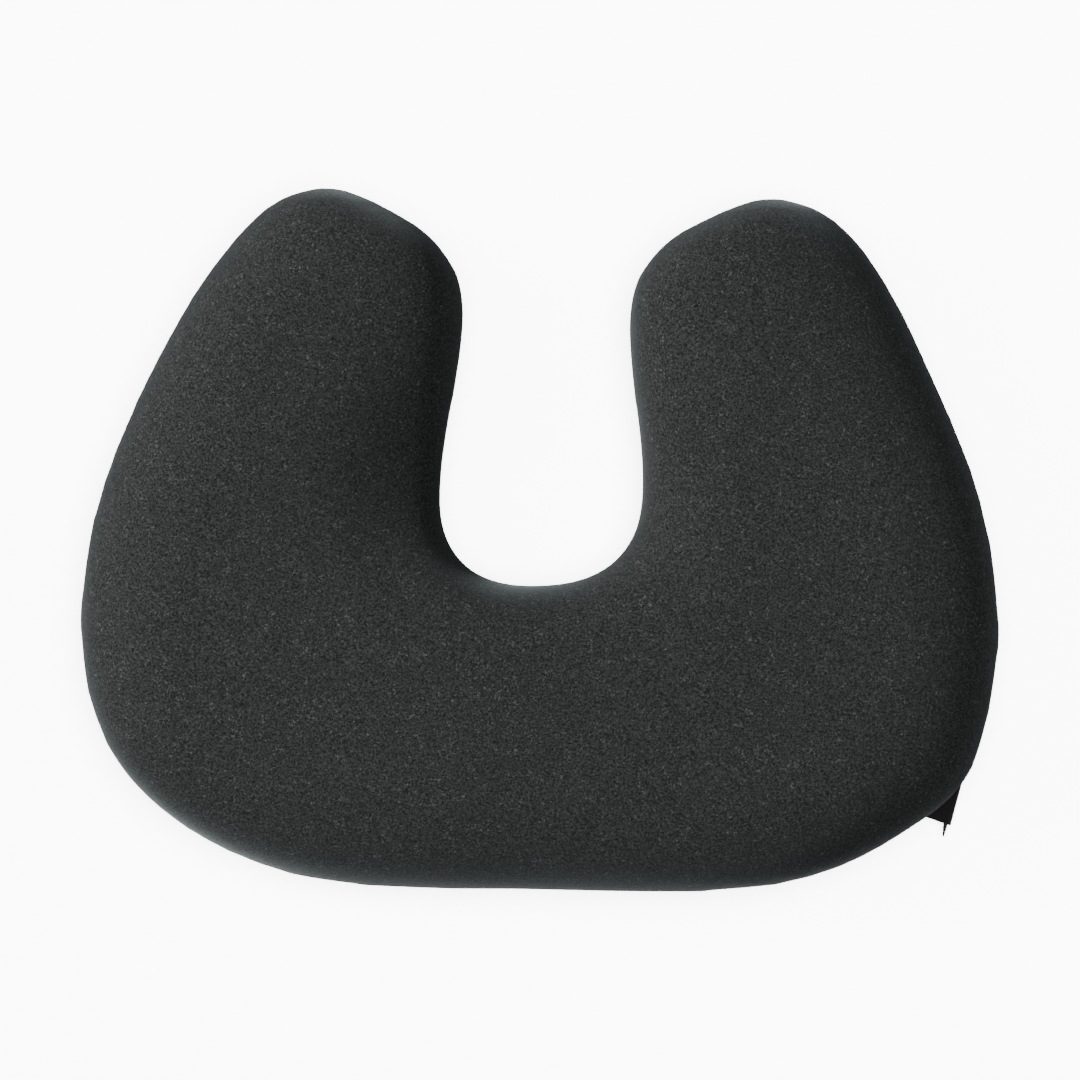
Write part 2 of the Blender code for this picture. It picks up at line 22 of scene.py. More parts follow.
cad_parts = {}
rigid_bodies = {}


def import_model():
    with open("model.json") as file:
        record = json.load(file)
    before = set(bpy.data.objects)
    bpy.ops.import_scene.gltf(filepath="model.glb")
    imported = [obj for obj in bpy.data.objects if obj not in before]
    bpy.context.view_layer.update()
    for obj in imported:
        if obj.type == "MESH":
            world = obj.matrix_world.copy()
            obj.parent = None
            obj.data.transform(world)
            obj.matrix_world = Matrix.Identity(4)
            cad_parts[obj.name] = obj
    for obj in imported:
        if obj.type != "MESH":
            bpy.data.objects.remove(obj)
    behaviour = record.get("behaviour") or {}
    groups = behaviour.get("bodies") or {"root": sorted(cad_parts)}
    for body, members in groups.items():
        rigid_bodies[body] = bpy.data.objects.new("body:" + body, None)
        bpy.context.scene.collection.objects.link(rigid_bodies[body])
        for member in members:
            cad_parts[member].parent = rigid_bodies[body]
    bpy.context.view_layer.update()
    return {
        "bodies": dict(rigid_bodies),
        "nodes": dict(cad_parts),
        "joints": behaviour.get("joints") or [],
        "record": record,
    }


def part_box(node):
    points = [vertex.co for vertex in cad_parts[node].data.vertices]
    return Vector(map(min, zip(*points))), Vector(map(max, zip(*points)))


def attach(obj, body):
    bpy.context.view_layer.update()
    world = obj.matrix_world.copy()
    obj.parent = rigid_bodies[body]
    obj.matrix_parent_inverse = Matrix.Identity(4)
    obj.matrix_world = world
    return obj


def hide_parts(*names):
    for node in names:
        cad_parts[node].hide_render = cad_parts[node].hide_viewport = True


logging.basicConfig(level=logging.INFO, format="%(name)s: %(message)s")
LOG = logging.getLogger("cushion")

Colour = tuple[float, float, float]
Path3 = list[Vector]
Thing = bpy.types.Object
Mesh = bpy.types.Mesh
Material = bpy.types.Material

UP = Vector((0.0, 0.0, 1.0))
MERGE = 2e-6
BEVEL = {"offset_type": "OFFSET", "affect": "EDGES", "segments": 2, "profile": 0.5, "material": -1}


class Body(Enum):
    """Bodies of the frame that a piece may ride on."""

    CUSHION = "cushion"
    SLIDER = "zip_slider"
    PULL = "zip_pull"


class Slot(Enum):
    """Material slots of the record, passed along with each piece but not read."""

    KNIT = "knit_cover"
    FOAM = "foam"
    GRIP = "grip_fabric"
    THREAD = "seam_thread"
    TAPE = "zip_tape"
    NYLON = "zip_nylon"
    METAL = "zip_metal"


# ---- Shader maths


class Signal:
    """An output socket that takes part in Python arithmetic."""

    def __init__(self, nodes: "Nodes", socket: bpy.types.NodeSocket) -> None:
        """Wraps an output socket of a material's nodes, to which the arithmetic is added."""
        self.nodes = nodes
        self.socket = socket

    def _maths(self, operation: str, first: "Value", second: "Value" = 0.0, clamp: bool = False) -> "Signal":
        """Adds one Math node and returns its result."""
        settings = {"operation": operation, "use_clamp": clamp}
        return self.nodes.add("ShaderNodeMath", settings, {0: first, 1: second})["Value"]

    def __add__(self, other: "Value") -> "Signal":
        """Sum."""
        return self._maths("ADD", self, other)

    def __radd__(self, other: "Value") -> "Signal":
        """Sum with a number on the left."""
        return self._maths("ADD", other, self)

    def __sub__(self, other: "Value") -> "Signal":
        """Difference."""
        return self._maths("SUBTRACT", self, other)

    def __rsub__(self, other: "Value") -> "Signal":
        """Difference from a number."""
        return self._maths("SUBTRACT", other, self)

    def __mul__(self, other: "Value") -> "Signal":
        """Product."""
        return self._maths("MULTIPLY", self, other)

    def __rmul__(self, other: "Value") -> "Signal":
        """Product with a number on the left."""
        return self._maths("MULTIPLY", other, self)

    def __abs__(self) -> "Signal":
        """Size without its sign."""
        return self._maths("ABSOLUTE", self)

    def sine(self) -> "Signal":
        """Sine of an angle in radians."""
        return self._maths("SINE", self)

    def clamped(self) -> "Signal":
        """The value held between 0 and 1."""
        return self._maths("ADD", self, 0.0, clamp=True)

    def between(self, low: float, high: float) -> "Signal":
        """Smooth step.

        Args:
            low: Value that gives 0.
            high: Value that gives 1.

        Returns:
            The step, from 0 to 1.
        """
        settings = {"interpolation_type": "SMOOTHSTEP"}
        sockets = {"Value": self, "From Min": low, "From Max": high}
        return self.nodes.add("ShaderNodeMapRange", settings, sockets)["Result"]


Value = Union[Signal, float]


class Nodes:
    """The nodes of one procedural material."""

    def __init__(self, name: str) -> None:
        """Starts an empty material.

        Args:
            name: The material's name.
        """
        self.material = bpy.data.materials.new(name)
        self.material.use_nodes = True
        self.tree = self.material.node_tree
        self.tree.nodes.clear()
        self._place: Optional[Signal] = None

    def add(self, kind: str, settings: Optional[dict] = None, sockets: Optional[dict] = None) -> dict:
        """Adds a node of any type.

        Args:
            kind: The node's type.
            settings: Its properties, which are set first.
            sockets: Values or signals for its inputs, by name or number.

        Returns:
            Its outputs as signals, by name.
        """
        node = self.tree.nodes.new(kind)
        for key, value in (settings or {}).items():
            setattr(node, key, value)
        for key, value in (sockets or {}).items():
            if isinstance(value, Signal):
                self.tree.links.new(value.socket, node.inputs[key])
            elif isinstance(value, tuple) and node.inputs[key].type == "RGBA":
                node.inputs[key].default_value = (*value[:3], 1.0)
            else:
                node.inputs[key].default_value = value
        outputs: dict = {}
        for socket in node.outputs:
            if socket.enabled:
                outputs.setdefault(socket.name, Signal(self, socket))
        return outputs

    def place(self) -> Signal:
        """Position on the object, in metres."""
        if self._place is None:
            self._place = self.add("ShaderNodeTexCoord")["Object"]
        return self._place

    def stretched(self, *scale: float) -> Signal:
        """Position on the object, scaled on each axis."""
        return self.add("ShaderNodeMapping", {}, {"Vector": self.place(), "Scale": scale})["Vector"]

    def axes(self) -> tuple[Signal, Signal, Signal]:
        """The three parts of the position on the object."""
        parts = self.add("ShaderNodeSeparateXYZ", {}, {"Vector": self.place()})
        return parts["X"], parts["Y"], parts["Z"]

    def cloud(
        self, scale: float, detail: float = 2.0, rough: float = 0.5, at: Optional[Signal] = None, warp: float = 0.0
    ) -> Signal:
        """Noise.

        Args:
            scale: Features per metre.
            detail: Number of finer layers.
            rough: Strength of the finer layers.
            at: Where it is read, or None for the position on the object.
            warp: How far the pattern is distorted.

        Returns:
            The noise, about 0.5.
        """
        sockets = {"Scale": scale, "Detail": detail, "Roughness": rough, "Distortion": warp}
        outputs = self.add("ShaderNodeTexNoise", {}, {"Vector": at or self.place(), **sockets})
        return outputs.get("Fac") or outputs["Factor"]

    def cells(self, scale: float, feature: str = "F1", spread: float = 1.0) -> Signal:
        """Distances in Voronoi cells.

        Args:
            scale: Cells per metre.
            feature: Which distance is measured.
            spread: How far cells stray from a grid.

        Returns:
            The distance.
        """
        sockets = {"Vector": self.place(), "Scale": scale, "Randomness": spread}
        return self.add("ShaderNodeTexVoronoi", {"feature": feature}, sockets)["Distance"]

    def blend(self, first: Union[Signal, Colour], second: Union[Signal, Colour], factor: Value) -> Signal:
        """Mixes two colours.

        Args:
            first: Colour where the factor is 0.
            second: Colour where the factor is 1.
            factor: The share of the second.

        Returns:
            The mixed colour.
        """
        node = self.tree.nodes.new("ShaderNodeMix")
        node.data_type = "RGBA"
        for socket, value in zip((node.inputs[0], node.inputs[6], node.inputs[7]), (factor, first, second)):
            if isinstance(value, Signal):
                self.tree.links.new(value.socket, socket)
            else:
                socket.default_value = (*value, 1.0) if isinstance(value, tuple) else value
        return Signal(self, node.outputs[2])

    def relief(self, height: Signal, depth: float, strength: float = 1.0) -> Signal:
        """Bump.

        Args:
            height: Height, from 0 to 1.
            depth: What a height of 1 stands for, in metres.
            strength: Strength of the effect.

        Returns:
            The new normal.
        """
        sockets = {"Height": height, "Distance": depth, "Strength": strength}
        return self.add("ShaderNodeBump", {}, sockets)["Normal"]

    def surface(self, colour: Signal, rough: Value, normal: Signal, **constants: Union[float, Colour]) -> Material:
        """Finishes the material with one Principled shader.

        Args:
            colour: Base colour.
            rough: Roughness.
            normal: Normal.
            **constants: Other sockets, with underscores for the spaces of their names.

        Returns:
            The material.
        """
        sockets = {"Base Color": colour, "Roughness": rough, "Normal": normal}
        sockets.update({key.replace("_", " "): value for key, value in constants.items()})
        shader = self.add("ShaderNodeBsdfPrincipled", {}, sockets)["BSDF"]
        self.add("ShaderNodeOutputMaterial", {}, {"Surface": shader})
        return self.material


# ---- Finishes


@dataclass(frozen=True)
class HeatherKnit:
    """Matte stretch knit of charcoal and grey fibres."""

    shade: Colour = (0.0085, 0.0094, 0.0091)
    yarn: Colour = (0.049, 0.0535, 0.0515)
    fleck: Colour = (0.185, 0.195, 0.190)
    sheen: Colour = (0.80, 0.90, 0.92)
    stitch_pitch: float = 0.00095
    relief: float = 0.00022

    def build(self) -> Material:
        """Makes the material, of knit loops, fibres, worm-like hairs, pale flecks and broad changes of tone.

        Returns:
            The material.
        """
        n = Nodes("heather knit")
        fine = 1.0 / self.stitch_pitch
        loops = 1.0 - n.cells(fine, spread=0.75) * 1.25
        grain = n.cloud(fine * 0.95, detail=2.0, rough=0.62, warp=0.4)
        fibre = n.cloud(fine * 0.62, detail=1.0, rough=0.5, warp=1.1)
        worm = 1.0 - (abs(fibre - 0.5) * 15.0).clamped()
        patches = n.cloud(fine * 0.16, detail=2.0).between(0.42, 0.66)
        specks = (n.cloud(fine * 0.8, detail=1.0, rough=0.7, warp=0.7) - 0.06).between(0.50, 0.66)
        broad = n.cloud(14.0, detail=3.0)
        body = n.blend(self.shade, self.yarn, (grain * 3.4 + loops * 0.27 - 1.36).clamped())
        lit = n.blend(body, self.fleck, (specks * (0.17 + patches * 0.30) + worm * 0.08).clamped())
        tone = n.blend(lit, (0.0, 0.0, 0.0), (0.16 - broad * 0.32).clamped())
        normal = n.relief(loops * 0.6 + grain * 0.5 + worm * 0.25, self.relief, 0.55)
        constants = {"Sheen_Weight": 0.28, "Sheen_Roughness": 0.42, "Sheen_Tint": self.sheen}
        return n.surface(tone, 0.86 + grain * 0.16, normal, Specular_IOR_Level=0.18, **constants)


@dataclass(frozen=True)
class MouldedFoam:
    """Open-cell moulded foam."""

    skin: Colour = (0.66, 0.62, 0.53)
    pore: Colour = (0.42, 0.38, 0.31)
    aged: Colour = (0.58, 0.47, 0.30)
    pore_size: float = 0.0011

    def build(self) -> Material:
        """Makes the material, of open pores with patches that have yellowed.

        Returns:
            The material.
        """
        n = Nodes("moulded foam")
        walls = n.cells(1.0 / self.pore_size, "DISTANCE_TO_EDGE").between(0.02, 0.30)
        age = n.cloud(22.0, detail=3.0)
        fresh = n.blend(self.skin, self.pore, walls * 0.7)
        colour = n.blend(fresh, self.aged, age.between(0.45, 0.75) * 0.35)
        return n.surface(colour, 0.88 + walls * 0.1, n.relief(1.0 - walls, 0.0004, 0.8), Sheen_Weight=0.1)


@dataclass(frozen=True)
class WovenCloth:
    """Plain or twill woven cloth, flat on the X and Y axes."""

    name: str
    thread: Colour
    gap: Colour
    pitch: float
    twill: float = 0.0
    relief: float = 0.00018
    fuzz: float = 0.15

    def build(self) -> Material:
        """Makes the material, of crossing threads whose fibres are worn in places.

        Returns:
            The material.
        """
        n = Nodes(self.name)
        x, y, z = n.axes()
        turn = 2.0 * math.pi / self.pitch
        up = (y + z * 0.9) * turn
        along = x * turn + up * self.twill
        warp_way = along.sine() * 0.5 + 0.5
        weft_way = (up + along * (0.5 if self.twill else 0.0)).sine() * 0.5 + 0.5
        lift = (along * 0.5).sine() * (up * 0.5).sine()
        weave = warp_way * (lift * 0.5 + 0.5) + weft_way * (0.5 - lift * 0.5)
        fibre = n.cloud(3.2 / self.pitch, detail=2.0, rough=0.65)
        worn = n.cloud(60.0, detail=3.0).between(0.4, 0.75)
        colour = n.blend(self.gap, self.thread, (weave * 0.75 + fibre * 0.5 - 0.1).clamped())
        faded = n.blend(colour, n.blend(colour, (1.0, 1.0, 1.0), 0.012), worn)
        normal = n.relief(weave * 0.8 + fibre * 0.3, self.relief, 0.8)
        constants = {"Sheen_Weight": self.fuzz, "Sheen_Roughness": 0.4, "Specular_IOR_Level": 0.3}
        return n.surface(faded, 0.72 + fibre * 0.2, normal, **constants)


@dataclass(frozen=True)
class SpunThread:
    """Twisted polyester sewing thread."""

    name: str
    ply: Colour
    groove: Colour
    twist: float = 0.0007

    def build(self) -> Material:
        """Makes the material, of twisted plies with fine hairs.

        Returns:
            The material.
        """
        n = Nodes(self.name)
        x, y, z = n.axes()
        twist = ((x + y * 0.8 + z * 1.3) * (2.0 * math.pi / self.twist)).sine() * 0.5 + 0.5
        hair = n.cloud(5200.0, detail=2.0, rough=0.7)
        colour = n.blend(self.groove, self.ply, (twist * 0.7 + hair * 0.5).clamped())
        return n.surface(colour, 0.55 + hair * 0.3, n.relief(twist + hair * 0.4, 0.00008, 0.7), Sheen_Weight=0.25)


@dataclass(frozen=True)
class Rubber:
    """Moulded rubber of the grip dots."""

    base: Colour = (0.034, 0.034, 0.035)
    dust: Colour = (0.110, 0.106, 0.100)

    def build(self) -> Material:
        """Makes the material, with dust on it.

        Returns:
            The material.
        """
        n = Nodes("grip rubber")
        grime = n.cloud(900.0, detail=3.0, rough=0.6)
        spots = n.cloud(90.0, detail=2.0).between(0.45, 0.7)
        colour = n.blend(self.base, self.dust, (grime.between(0.45, 0.75) * 0.4 + spots * 0.12).clamped())
        return n.surface(colour, 0.5 + grime * 0.25, n.relief(grime, 0.00004, 0.5))


@dataclass(frozen=True)
class Nylon:
    """Glossy nylon monofilament of the coils."""

    base: Colour = (0.022, 0.021, 0.022)
    rub: Colour = (0.070, 0.068, 0.070)

    def build(self) -> Material:
        """Makes the material, with drawn streaks and rubbed places.

        Returns:
            The material.
        """
        n = Nodes("coil nylon")
        streak = n.cloud(1.0, detail=2.0, at=n.stretched(600.0, 3200.0, 3200.0))
        rubbed = n.cloud(220.0, detail=2.0).between(0.5, 0.75)
        colour = n.blend(self.base, self.rub, (streak * 0.3 + rubbed * 0.35 - 0.1).clamped())
        rough = 0.26 + streak * 0.16 + rubbed * 0.12
        return n.surface(colour, rough, n.relief(streak, 0.00002, 0.4), Coat_Weight=0.2)


@dataclass(frozen=True)
class PlatedMetal:
    """Gunmetal plating, brushed along the chain and worn through at edges."""

    plate: Colour = (0.115, 0.115, 0.122)
    groove: Colour = (0.062, 0.062, 0.068)
    bare: Colour = (0.42, 0.40, 0.37)

    def build(self) -> Material:
        """Makes the material, with brush marks, small dents and bare edges.

        Returns:
            The material.
        """
        n = Nodes("gunmetal plating")
        brush = n.cloud(1.0, detail=3.0, rough=0.65, at=n.stretched(260.0, 5200.0, 5200.0))
        dents = n.cloud(1500.0, detail=2.0)
        edges = n.add("ShaderNodeNewGeometry")["Pointiness"].between(0.53, 0.62)
        wear = (edges * (0.35 + n.cloud(800.0, detail=3.0) * 0.9)).clamped()
        colour = n.blend(n.blend(self.plate, self.groove, brush * 0.6), self.bare, wear)
        rough = 0.26 + brush * 0.2 + dents.between(0.5, 0.8) * 0.12
        return n.surface(colour, rough, n.relief(brush * 0.6 + dents * 0.4, 0.00002, 0.5), Metallic=0.92)


Finish = Union[HeatherKnit, MouldedFoam, WovenCloth, SpunThread, Rubber, Nylon, PlatedMetal]

GRIP_CLOTH = WovenCloth("grip fabric", (0.030, 0.030, 0.032), (0.007, 0.007, 0.007), 0.0008)
ZIP_TAPE = WovenCloth("zip tape", (0.026, 0.024, 0.0245), (0.008, 0.0075, 0.0078), 0.00055, 0.5, 0.0001)
# Painted light: the folded end is the same tape as ZIP_TAPE, but its thread and gap colours are about six times
# lighter. The extra lightness stands in for light that the tab does not get where it lies shaded under the
# cushion's bulge.
FOLDED_TAPE_PAINTED_LIGHT = WovenCloth("folded tape", (0.165, 0.148, 0.150), (0.066, 0.058, 0.059), 0.00055, 0.5, 0.0001)
OVERLOCK = SpunThread("overlock thread", (0.085, 0.086, 0.085), (0.020, 0.020, 0.020))
LOOSE = SpunThread("loose thread", (0.16, 0.17, 0.165), (0.05, 0.053, 0.05), 0.0006)
STITCHING = SpunThread("stitching thread", (0.060, 0.058, 0.058), (0.014, 0.013, 0.013), 0.0005)


def made(finish: Finish) -> Material:
    """A dataclass field whose default is the finish's material."""
    return field(default_factory=finish.build)


@dataclass
class Finishes:
    """Every finish of the cushion, made once."""

    knit: Material = made(HeatherKnit())
    foam: Material = made(MouldedFoam())
    grip: Material = made(GRIP_CLOTH)
    rubber: Material = made(Rubber())
    tape: Material = made(ZIP_TAPE)
    thread: Material = made(OVERLOCK)
    # The folded tape end's finish: a lighter copy of the tape, whose extra lightness is painted light.
    fold: Material = made(FOLDED_TAPE_PAINTED_LIGHT)
    tail: Material = made(LOOSE)
    stitch: Material = made(STITCHING)
    nylon: Material = made(Nylon())
    metal: Material = made(PlatedMetal())


# ---- Mesh helpers


def shown(mesh: Mesh, name: str, finish: Material, smooth: bool = True) -> Thing:
    """Puts a mesh in the scene.

    Args:
        mesh: The mesh, with its place in its vertices.
        name: The object's name.
        finish: Its material.
        smooth: Whether its faces are shaded smooth.

    Returns:
        The object.
    """
    mesh.name = name
    mesh.materials.clear()
    mesh.materials.append(finish)
    mesh.polygons.foreach_set("use_smooth", [smooth] * len(mesh.polygons))
    thing = bpy.data.objects.new(name, mesh)
    bpy.context.scene.collection.objects.link(thing)
    return thing


def settled(thing: Thing) -> Mesh:
    """The mesh that an object has after its modifiers."""
    graph = bpy.context.evaluated_depsgraph_get()
    return bpy.data.meshes.new_from_object(thing.evaluated_get(graph), depsgraph=graph)


def applied(thing: Thing) -> None:
    """Applies every modifier of an object to its own mesh.

    Args:
        thing: The object.
    """
    mesh = settled(thing)
    thing.modifiers.clear()
    thing.data = mesh


def merged(node: Thing) -> bmesh.types.BMesh:
    """A merged copy of a CAD node's loose triangles.

    Args:
        node: The CAD node.

    Returns:
        The copy, which the caller frees.
    """
    bm = bmesh.new()
    bm.from_mesh(node.data)
    bmesh.ops.remove_doubles(bm, verts=bm.verts, dist=MERGE)
    bm.normal_update()
    return bm


def to_mesh(bm: bmesh.types.BMesh, name: str) -> Mesh:
    """Turns a bmesh into a mesh and frees it.

    Args:
        bm: The bmesh.
        name: The mesh's name.

    Returns:
        The mesh.
    """
    mesh = bpy.data.meshes.new(name)
    bm.to_mesh(mesh)
    bm.free()
    return mesh


def report(thing: Thing) -> None:
    """Logs a finished piece and its size."""
    extent = ", ".join(f"{side * 1000:.1f}" for side in thing.dimensions)
    LOG.info("%s: %d faces, %s mm", thing.name, len(thing.data.polygons), extent)


def settle_in(thing: Thing, body: Body, slot: Slot, *nodes: str) -> Thing:
    """Joins a finished piece to the frame.

    Args:
        thing: The piece.
        body: The body that it rides on.
        slot: Its material slot; not used.
        *nodes: CAD nodes that it stands for.

    Returns:
        The piece.
    """
    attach(thing, body.value)
    if nodes:
        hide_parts(*nodes)
    report(thing)
    return thing


def rounded_copy(node: Thing, name: str, radius: float, finish: Material) -> Thing:
    """A CAD node's form with its sharp edges rounded.

    Args:
        node: The CAD node.
        name: Name of the new piece.
        radius: Width of the rounding.
        finish: Its material.

    Returns:
        The new piece.
    """
    bm = merged(node)
    bmesh.ops.dissolve_limit(bm, angle_limit=math.radians(2), verts=bm.verts, edges=bm.edges)
    bmesh.ops.recalc_face_normals(bm, faces=bm.faces)
    sharp = [e for e in bm.edges if len(e.link_faces) == 2 and e.calc_face_angle(0.0) > math.radians(30)]
    bmesh.ops.bevel(bm, geom=sharp, offset=radius, clamp_overlap=True, **BEVEL)
    return shown(to_mesh(bm, name), name, finish)


def outline_of(node: Thing, height: float) -> Path3:
    """The longest closed edge of a flat CAD node's lower face.

    Args:
        node: The CAD node.
        height: Height that the points are given.

    Returns:
        Points in order round the outline, anticlockwise from above.
    """
    bm = merged(node)
    low = min(v.co.z for v in bm.verts)
    rim = [
        e for e in bm.edges
        if all(v.co.z < low + 1e-5 for v in e.verts) and sum(f.normal.z < -0.99 for f in e.link_faces) == 1
    ]
    follow: dict[int, list[bmesh.types.BMVert]] = {}
    for edge in rim:
        first, second = edge.verts
        follow.setdefault(first.index, []).append(second)
        follow.setdefault(second.index, []).append(first)
    loops, left = [], {v.index: v for e in rim for v in e.verts}
    while left:
        vert = next(iter(left.values()))
        loop = []
        while vert is not None:
            left.pop(vert.index)
            loop.append(vert.co.copy())
            vert = next((v for v in follow[vert.index] if v.index in left), None)
        loops.append(loop)
    bm.free()
    outline = max(loops, key=len)
    turn = sum(a.x * b.y - b.x * a.y for a, b in zip(outline, outline[1:] + outline[:1]))
    if turn < 0:
        outline.reverse()
    return [Vector((p.x, p.y, height)) for p in outline]


def spaced(points: Path3, step: float, closed: bool = True) -> Path3:
    """Smooth, evenly spaced points through others.

    Args:
        points: Points of the path.
        step: Distance between the new points.
        closed: Whether the path returns to its start.

    Returns:
        The new points, a whole number of steps.
    """
    curve = bpy.data.curves.new("path", "CURVE")
    curve.dimensions = "3D"
    curve.resolution_u = 10
    spline = curve.splines.new("BEZIER")
    spline.bezier_points.add(len(points) - 1)
    for knot, point in zip(spline.bezier_points, points):
        knot.co = point
        knot.handle_left_type = knot.handle_right_type = "AUTO"
    spline.use_cyclic_u = closed
    thing = bpy.data.objects.new("path", curve)
    bpy.context.scene.collection.objects.link(thing)
    line = [v.co.copy() for v in settled(thing).vertices]
    bpy.data.objects.remove(thing)
    if closed:
        line.append(line[0].copy())
    lengths = [0.0]
    for a, b in zip(line, line[1:]):
        lengths.append(lengths[-1] + (b - a).length)
    count = max(2, round(lengths[-1] / step))
    made, at = [], 0
    for i in range(count if closed else count + 1):
        want = lengths[-1] * i / count
        while at < len(line) - 2 and lengths[at + 1] < want:
            at += 1
        share = (want - lengths[at]) / max(lengths[at + 1] - lengths[at], 1e-9)
        made.append(line[at].lerp(line[at + 1], min(share, 1.0)))
    return made


def beside(points: Path3, distance: float) -> Path3:
    """A closed path moved outwards.

    Args:
        points: The path, anticlockwise from above.
        distance: How far outwards, or inwards where negative.

    Returns:
        The moved path.
    """
    moved = []
    for before, here, after in zip(points[-1:] + points[:-1], points, points[1:] + points[:1]):
        along = (after - before).normalized()
        moved.append(here + Vector((along.y, -along.x, 0.0)) * distance)
    return moved


def threads(
    name: str, paths: Iterable[Path3], radius: float, finish: Material,
    sides: int = 1, closed: bool = False, taper: Optional[Callable[[float], float]] = None,
) -> Thing:
    """Round threads along paths, as one mesh.

    Args:
        name: Name of the piece.
        paths: One list of points for each thread.
        radius: Radius of the thread.
        finish: Its material.
        sides: Roundness of its section.
        closed: Whether each thread closes on itself.
        taper: Share of the radius at each share of the length, or None.

    Returns:
        The piece.
    """
    curve = bpy.data.curves.new(name, "CURVE")
    curve.dimensions = "3D"
    curve.bevel_depth = radius
    curve.bevel_resolution = sides
    curve.use_fill_caps = True
    for path in paths:
        spline = curve.splines.new("POLY")
        spline.points.add(len(path) - 1)
        spline.use_cyclic_u = closed
        for i, (knot, point) in enumerate(zip(spline.points, path)):
            knot.co = (*point, 1.0)
            knot.radius = taper(i / (len(path) - 1)) if taper else 1.0
    thing = bpy.data.objects.new(name, curve)
    bpy.context.scene.collection.objects.link(thing)
    mesh = settled(thing)
    bpy.data.objects.remove(thing)
    bm = bmesh.new()
    bm.from_mesh(mesh)
    bmesh.ops.remove_doubles(bm, verts=bm.verts, dist=1e-6)
    bmesh.ops.recalc_face_normals(bm, faces=bm.faces)
    return shown(to_mesh(bm, name), name, finish)


def running_stitches(path: Path3, pitch: float, share: float, lift: Vector) -> list[Path3]:
    """Separate stitches that dip into the cloth at their ends.

    Args:
        path: The line that is sewn.
        pitch: Distance from one stitch to the next.
        share: Share of the pitch that shows.
        lift: How far the middle of a stitch stands off the cloth.

    Returns:
        One short path for each stitch.
    """
    stitches, run = [], 0.0
    for a, b in zip(path, path[1:]):
        length = (b - a).length
        way = (b - a) / max(length, 1e-9)
        while run < length:
            start = a + way * run
            ends = [start, start + way * pitch * share]
            stitches.append([
                ends[0] - lift,
                ends[0].lerp(ends[1], 0.22) + lift * 0.7,
                ends[0].lerp(ends[1], 0.78) + lift * 0.7,
                ends[1] - lift,
            ])
            run += pitch
        run -= length
    return stitches


# ---- Sub-assemblies


@dataclass(frozen=True)
class Bias:
    """A small unevenness of the real, hand-filled form."""

    centre: tuple[float, float]
    reach: float
    out: float = 0.0
    across: float = 0.0
    lift: float = 0.0
    fall: float = 2.0
    limit: float = 1.5
    foot: float = 0.003
    fade: float = 0.016

    def move(self, place: Vector, outward: Vector) -> Vector:
        """How far a point of the upper surface moves.

        Args:
            place: The point.
            outward: The surface's outward direction there.

        Returns:
            The step, in metres.
        """
        apart = (Vector((place.x, place.y)) - Vector(self.centre)).length / self.reach
        if apart >= self.limit:
            return Vector()
        share = math.exp(-self.fall * apart * apart) * min(1.0, max(0.0, (place.z - self.foot) / self.fade))
        steep = Vector((outward.x, outward.y, 0.0))
        aside, rise = self.across * share * steep.length, self.lift * share * max(0.0, outward.z)
        return steep * (self.out * share) + Vector((aside, 0.0, rise))


